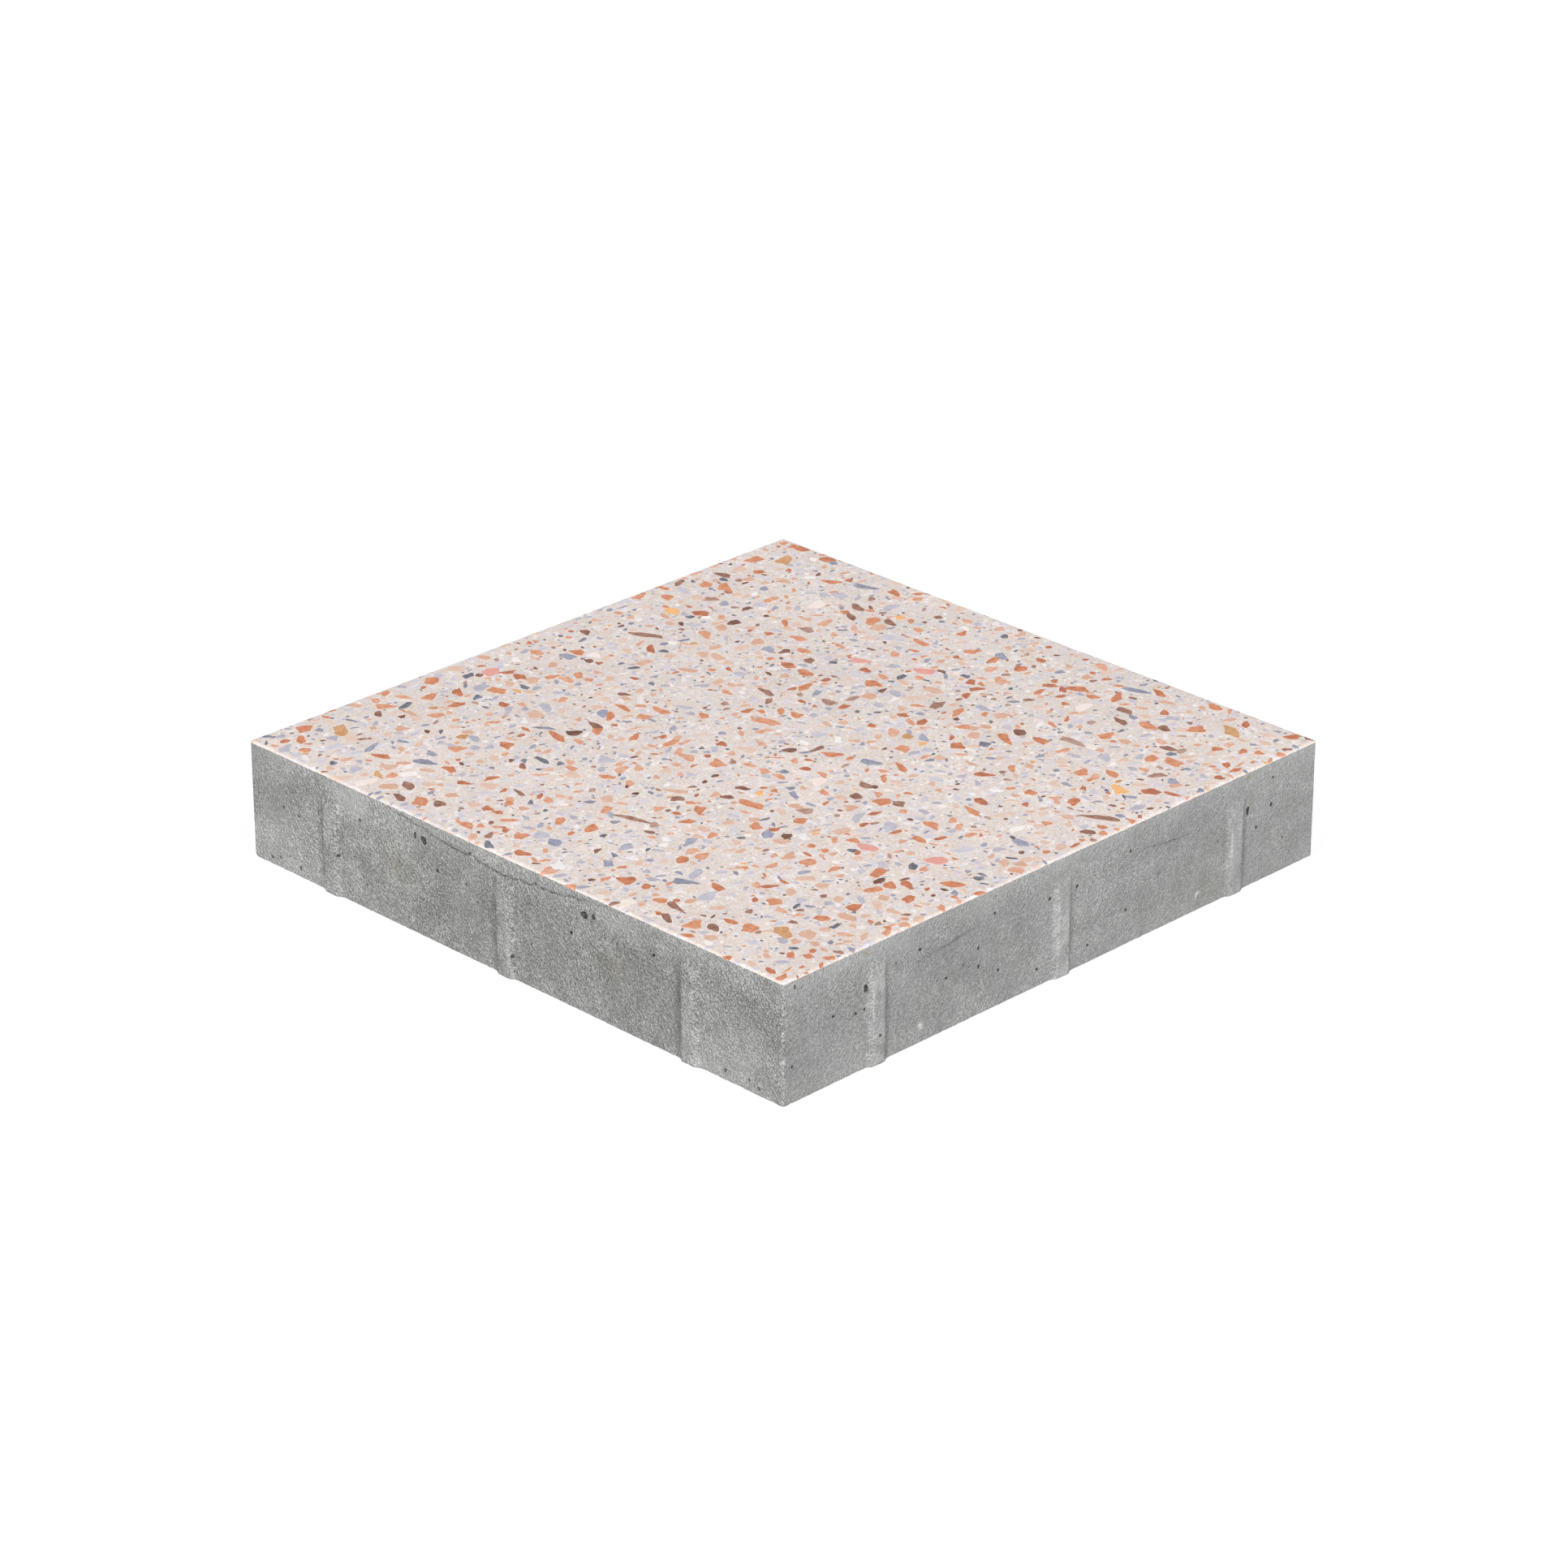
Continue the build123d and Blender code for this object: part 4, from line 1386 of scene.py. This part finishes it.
@dataclass
class FaceStones:
    """The stone chips that the grinder cut through in the face, laid flush in the mortar."""

    block: SlabSizes
    seed: int = 77
    sides: int = 6  # straight cuts that shape a chip
    sharpness: float = 22.0
    tries: int = 14
    keep_out: float = 0.41  # radius of the ground a chip keeps to itself, to its length
    gap: float = 0.12  # between the grounds of two chips
    size_power: float = 1.6  # draws are raised to these powers: most chips are small and short
    stretch_power: float = 1.1
    corner_shift: float = 0.2  # radians that a point strays on an outline of so many points:
    shift_corners: float = 6.0
    cut_shift: float = 0.5  # radians that a cut strays
    cut_turn: float = 6.0  # radians that all cuts of a chip are turned, at most
    cut_distance: tuple[float, float] = (0.5, 1.25)
    least_facing: float = 0.02
    longest_radius: float = 1.7
    waves: tuple[float, float] = (0.07, 0.06)  # unevenness of an outline, three and five waves round
    margin: float = 0.15  # how far inside the slab's walls a chip is trimmed
    sunk: float = 0.7  # how deep a chip reaches below the face
    flare: float = 1.05  # size of a chip's lower end to its face
    step: float = 0.03  # spread of the chips' heights, so that no two faces coincide
    bent_rings: tuple[float, ...] = (1.0, 0.84, 0.68, 0.52, 0.36, 0.2)  # points on chips at the slab's edge
    seen_corners: int = 24  # points on the outline of a stone that stands out
    face_map: tuple[float, float] = (0.01, 0.8)  # start and size of the chips' faces on the bake map
    foot_map: tuple[float, float] = (0.82, 0.16)

    def landmarks(self) -> list[dict[str, Array]]:
        """Reads the list of stones that stand out.

        Returns:
            For each kind of stone, the centres, sizes, stretches, turns and tints of its chips.
        """
        found = []
        for stones in SEEN_STONES.values():
            x, y, length, width, turn, tint = np.array(stones, dtype=float).T
            found.append(
                {
                    "centre": np.stack([x, y], axis=1),
                    "size": np.sqrt(length * width),
                    "stretch": length / width,
                    "turn": np.radians(turn),
                    "tint": tint,
                }
            )
        return found

    def reach(self, size: Array, stretch: Array) -> Array:
        """Gives how far from its middle a chip keeps others away."""
        return self.keep_out * size * np.sqrt(stretch)

    def scatter(self, seen: list[dict[str, Array]]) -> list[dict[str, Array]]:
        """Scatters the other chips by a seeded draw, coarse ones first, each on free ground.

        Args:
            seen: the stones that lie in the face already.

        Returns:
            For each grade, the centres, sizes, stretches, turns and tints of its chips.
        """
        draw = np.random.default_rng(self.seed)
        limit = self.block.half - self.margin
        taken = sum(len(chips["size"]) for chips in seen)
        total = taken + sum(grade.count for grade in GRADES)
        centres = np.zeros((total, 2))
        radii = np.zeros(total)
        centres[:taken] = np.concatenate([chips["centre"] for chips in seen])
        radii[:taken] = np.concatenate([self.reach(chips["size"], chips["stretch"]) for chips in seen])
        done = taken
        laid = []
        for grade in GRADES:
            first = done
            larger = draw.random(grade.count) ** self.size_power
            longer = draw.random(grade.count) ** self.stretch_power
            size = grade.smallest + (grade.largest - grade.smallest) * larger
            stretch = 1.0 + (grade.longest - 1.0) * longer
            reach = self.reach(size, stretch)
            kept = []
            for number in range(grade.count):
                spots = draw.uniform(-limit, limit, (self.tries, 2))
                gaps = np.hypot(*(spots[:, None, :] - centres[None, :done]).transpose(2, 0, 1))
                free = np.all(gaps > radii[:done] + reach[number] + self.gap, axis=1)
                if free.any():
                    centres[done] = spots[np.argmax(free)]
                    radii[done] = reach[number]
                    done += 1
                    kept.append(number)
            laid.append(
                {
                    "centre": centres[first:done].copy(),
                    "size": size[kept],
                    "stretch": stretch[kept],
                    "turn": draw.uniform(0.0, math.pi, len(kept)),
                    "tint": draw.random(len(kept)),
                }
            )
        return laid

    def outlines(self, corners: int, chips: dict[str, Array], seed: int) -> Array:
        """Draws each of a set of chips as a crushed stone with blunt corners.

        A chip is cut by straight lines at random angles and distances. Its radius at an angle is the inverse
        of the p-norm of the cuts' cosines over their distances, which blunts the corners where cuts meet. Two
        sine waves make it uneven, and it is then stretched, turned and moved.

        Args:
            corners: points on a chip's outline.
            chips: the chips, as scatter gives them.
            seed: the seed of their draw.

        Returns:
            Points as chips by corners by two.
        """
        draw = np.random.default_rng(seed)
        count = len(chips["size"])
        angle = np.linspace(0.0, 2 * math.pi, corners, endpoint=False)[None, :]
        stray = draw.uniform(-self.corner_shift, self.corner_shift, (count, corners))
        angle = angle + stray * (self.shift_corners / corners)
        cut = np.linspace(0.0, 2 * math.pi, self.sides, endpoint=False)[None, :]
        cut = cut + draw.uniform(-self.cut_shift, self.cut_shift, (count, self.sides))
        cut = cut + draw.uniform(0.0, self.cut_turn, (count, 1))
        distance = draw.uniform(*self.cut_distance, (count, self.sides))
        facing = np.clip(np.cos(angle[:, :, None] - cut[:, None, :]), self.least_facing, None)
        facing = facing / distance[:, None, :]
        radius = np.sum(facing**self.sharpness, axis=2) ** (-1.0 / self.sharpness)
        radius = np.minimum(radius, self.longest_radius)
        phase = draw.uniform(0.0, 2 * math.pi, (2, count, 1))
        three, five = self.waves
        radius = radius * (1.0 + three * np.sin(3 * angle + phase[0]) + five * np.sin(5 * angle + phase[1]))
        radius = radius / np.sqrt(np.mean(radius**2, axis=1, keepdims=True))
        half = chips["size"][:, None] / 2
        longer = np.sqrt(chips["stretch"])[:, None]
        right = radius * np.cos(angle) * half * longer
        ahead = radius * np.sin(angle) * half / longer
        turn = chips["turn"][:, None]
        spun_x = right * np.cos(turn) - ahead * np.sin(turn)
        spun_y = right * np.sin(turn) + ahead * np.cos(turn)
        return np.stack([spun_x, spun_y], axis=-1) + chips["centre"][:, None, :]

    def build(self) -> list[tuple[Rock, Piece]]:
        """Makes one mesh for each kind of stone: every chip is a closed prism that widens a little downwards.

        Returns:
            The kinds of stone with their objects, not in the scene yet.
        """
        pieces: dict[Rock, ChipMesh] = {rock: ChipMesh(self) for rock in Rock}
        seen = self.landmarks()
        batches = [(rock, self.seen_corners, chips) for rock, chips in zip(SEEN_STONES, seen)]
        batches += [(grade.rock, grade.corners, chips) for grade, chips in zip(GRADES, self.scatter(seen))]
        for number, (rock, corners, chips) in enumerate(batches):
            outline = self.outlines(corners, chips, self.seed + 1 + number)
            bent = np.max(np.abs(outline), axis=(1, 2)) > self.block.half - self.block.arris_width
            pieces[rock].add(outline[~bent], chips["tint"][~bent], (1.0,))
            pieces[rock].add(outline[bent], chips["tint"][bent], self.bent_rings)
        return [(rock, piece.build(rock.value.name + "_chips")) for rock, piece in pieces.items()]

    def spread(self, outline: Array, start: float, size: float) -> Array:
        """Lays outlines on the bake map as a plan of the face, with a start and a size on the map."""
        return start + (outline + self.block.half) / self.block.side * size

    def dress(self, chips: list[tuple[Rock, Piece]]) -> list[Piece]:
        """Gives each kind of stone its finish and puts it into the scene.

        Args:
            chips: the kinds of stone with their objects.

        Returns:
            The objects.
        """
        for rock, piece in chips:
            piece.data.materials.append(rock.value.material())
            place_piece(piece)
        return [piece for _, piece in chips]


class ChipMesh:
    """The mesh of all chips of one kind of stone, which grows grade by grade."""

    def __init__(self, stones: FaceStones) -> None:
        """Starts an empty mesh.

        Args:
            stones: the stones that the chips belong to.
        """
        self.stones = stones
        self.points: list[Array] = []
        self.faces: list[list[int]] = []
        self.flat: list[Array] = []
        self.tints: list[Array] = []
        self.count = 0

    def add(self, outline: Array, tint: Array, rings: tuple[float, ...]) -> None:
        """Adds the chips of a grade.

        A chip's outline is trimmed to the slab's, and its rings of points are that shape, shrunk about its
        middle. Its face follows the drop of the slab's edge. Below the outline lies a wider ring, sunk in the
        mortar, which closes the chip.

        Args:
            outline: points as chips by corners by two.
            tint: each chip's tint.
            rings: sizes of the rings, from the outline inwards.
        """
        stones = self.stones
        block = stones.block
        chips, corners, _ = outline.shape
        trimmed = block.hold(outline, stones.margin)
        middle = trimmed.mean(axis=1, keepdims=True)
        level = (block.thickness - stones.step * tint)[:, None]
        sizes = (stones.flare,) + rings
        plans = [middle + (trimmed - middle) * size for size in sizes]
        plans[0] = block.hold(plans[0], stones.margin)
        heights = [level - block.fall(plan) for plan in plans]
        heights[0] = heights[0] - stones.sunk
        layers = [np.concatenate([plan, height[..., None]], axis=2) for plan, height in zip(plans, heights)]
        self.points.append(np.concatenate(layers, axis=1).reshape(-1, 3))
        self.tints.append(np.repeat(tint, len(sizes) * corners))
        first = self.count + np.arange(chips)[:, None] * len(sizes) * corners
        ring = np.arange(corners)[None, :]
        after = (ring + 1) % corners
        maps = [stones.spread(plan, *stones.face_map) for plan in plans]
        for low in range(len(sizes) - 1):
            start = first + low * corners
            above = start + corners
            band = np.stack([start + ring, start + after, above + after, above + ring], axis=-1)
            self.faces += band.reshape(-1, 4).tolist()
            lower, upper = maps[low], maps[low + 1]
            band_map = np.stack([lower, lower[:, after[0]], upper[:, after[0]], upper], axis=2)
            self.flat.append(band_map.reshape(-1, 2))
        self.faces += (first + (len(sizes) - 1) * corners + ring).tolist()
        self.flat.append(maps[-1].reshape(-1, 2))
        self.faces += (first + ring[:, ::-1]).tolist()
        self.flat.append(stones.spread(plans[0], *stones.foot_map)[:, ::-1].reshape(-1, 2))
        self.count += chips * len(sizes) * corners

    def build(self, name: str) -> Piece:
        """Makes the object.

        Args:
            name: its name.

        Returns:
            The chips as one object, not in the scene yet.
        """
        mesh = bpy.data.meshes.new(name)
        mesh.from_pydata((np.concatenate(self.points) * MM).tolist(), [], self.faces)
        set_attribute(mesh, "tint", np.concatenate(self.tints))
        set_map(mesh, np.concatenate(self.flat))
        mesh.update()
        return bpy.data.objects.new(name, mesh)


@dataclass(frozen=True)
class SoftLamp:
    """A distant studio lamp, which lights the slab and the floor evenly."""

    name: str
    azimuth: float  # degrees, 0 from the side of -Y
    elevation: float
    strength: float  # watts to the square metre, square on to the lamp
    spread: float  # degrees that the lamp covers, which softens its shadows
    distance: float = 3.0  # metres

    def build(self) -> None:
        """Hangs the lamp, turned to the slab's middle."""
        light = bpy.data.lights.new(self.name, "SUN")
        light.energy = self.strength
        light.angle = math.radians(self.spread)
        lamp = bpy.data.objects.new(self.name, light)
        towards = view_direction(self.azimuth, self.elevation)
        lamp.location = towards * self.distance
        lamp.rotation_euler = (-towards).to_track_quat("-Z", "Y").to_euler()
        bpy.context.scene.collection.objects.link(lamp)


def view_direction(azimuth: float, elevation: float) -> Vector:
    """Gives the direction from the slab to something round it.

    Args:
        azimuth: degrees round from the side of -Y.
        elevation: degrees above the floor.

    Returns:
        A direction of length one.
    """
    turn = math.radians(azimuth)
    lift = math.radians(elevation)
    return Vector((math.sin(turn) * math.cos(lift), -math.cos(turn) * math.cos(lift), math.sin(lift)))


@dataclass
class Studio:
    """Pale floor, soft light and the camera of the photograph."""

    floor_half: float = 9.0  # metres
    floor_colour: str = "#fefefe"
    floor_roughness: float = 0.9
    floor_glow: float = 0.03  # light that comes through the paper, which keeps it clear white
    floor_gap: float = 0.2  # millimetres under the slab
    sky_colour: str = "#ffffff"
    sky: float = 0.27
    photo_pixels: float = 1932.0
    focal_pixels: float = 6431.77
    sensor: float = 36.0
    clip: tuple[float, float] = (0.05, 60.0)  # metres
    azimuth: float = -45.0
    elevation: float = 24.958
    distance: float = 2071.2
    aim: tuple[float, float, float] = (9.17, 8.74, 25.1)
    lights: tuple[SoftLamp, ...] = (SoftLamp("key_lamp", -48.0, 38.0, 3.8, 8.0),)

    def build(self) -> None:
        """Makes the floor, the light and the camera."""
        half = self.floor_half
        level = -self.floor_gap * MM
        mesh = bpy.data.meshes.new("studio_floor")
        corners = [(-half, -half, level), (half, -half, level), (half, half, level), (-half, half, level)]
        mesh.from_pydata(corners, [], [(0, 1, 2, 3)])
        material, _, shader, _ = new_material("studio_paper")
        shader.inputs["Base Color"].default_value = srgb(self.floor_colour)
        shader.inputs["Emission Color"].default_value = srgb(self.floor_colour)
        shader.inputs["Emission Strength"].default_value = self.floor_glow
        shader.inputs["Roughness"].default_value = self.floor_roughness
        mesh.materials.append(material)
        floor = bpy.data.objects.new("studio_floor", mesh)
        bpy.context.scene.collection.objects.link(floor)
        world = bpy.data.worlds.new("studio_sky")
        world.use_nodes = True
        backdrop = world.node_tree.nodes["Background"]
        backdrop.inputs["Color"].default_value = srgb(self.sky_colour)
        backdrop.inputs["Strength"].default_value = self.sky
        bpy.context.scene.world = world
        for light in self.lights:
            light.build()
        self.camera()
        bpy.context.scene.view_settings.view_transform = "Standard"

    def camera(self) -> None:
        """Sets the camera where the photograph was taken from, as its corners give it."""
        data = bpy.data.cameras.new("photo_camera")
        data.sensor_width = self.sensor
        data.lens = self.sensor * self.focal_pixels / self.photo_pixels
        data.clip_start, data.clip_end = self.clip
        camera = bpy.data.objects.new("photo_camera", data)
        back = view_direction(self.azimuth, self.elevation)
        camera.location = (Vector(self.aim) + back * self.distance) * MM
        camera.rotation_euler = (-back).to_track_quat("-Z", "Y").to_euler()
        bpy.context.scene.collection.objects.link(camera)
        bpy.context.scene.camera = camera


def main() -> None:
    """Builds the slab, the stones in its face and the studio."""
    logging.basicConfig(level=logging.INFO, format="%(name)s %(message)s")
    block = SlabSizes()
    slab = PressedSlab(block, NibSizes())
    slab.dress(slab.build())
    stones = FaceStones(block)
    stones.dress(stones.build())
    Studio().build()


if __name__ == "__main__":
    main()
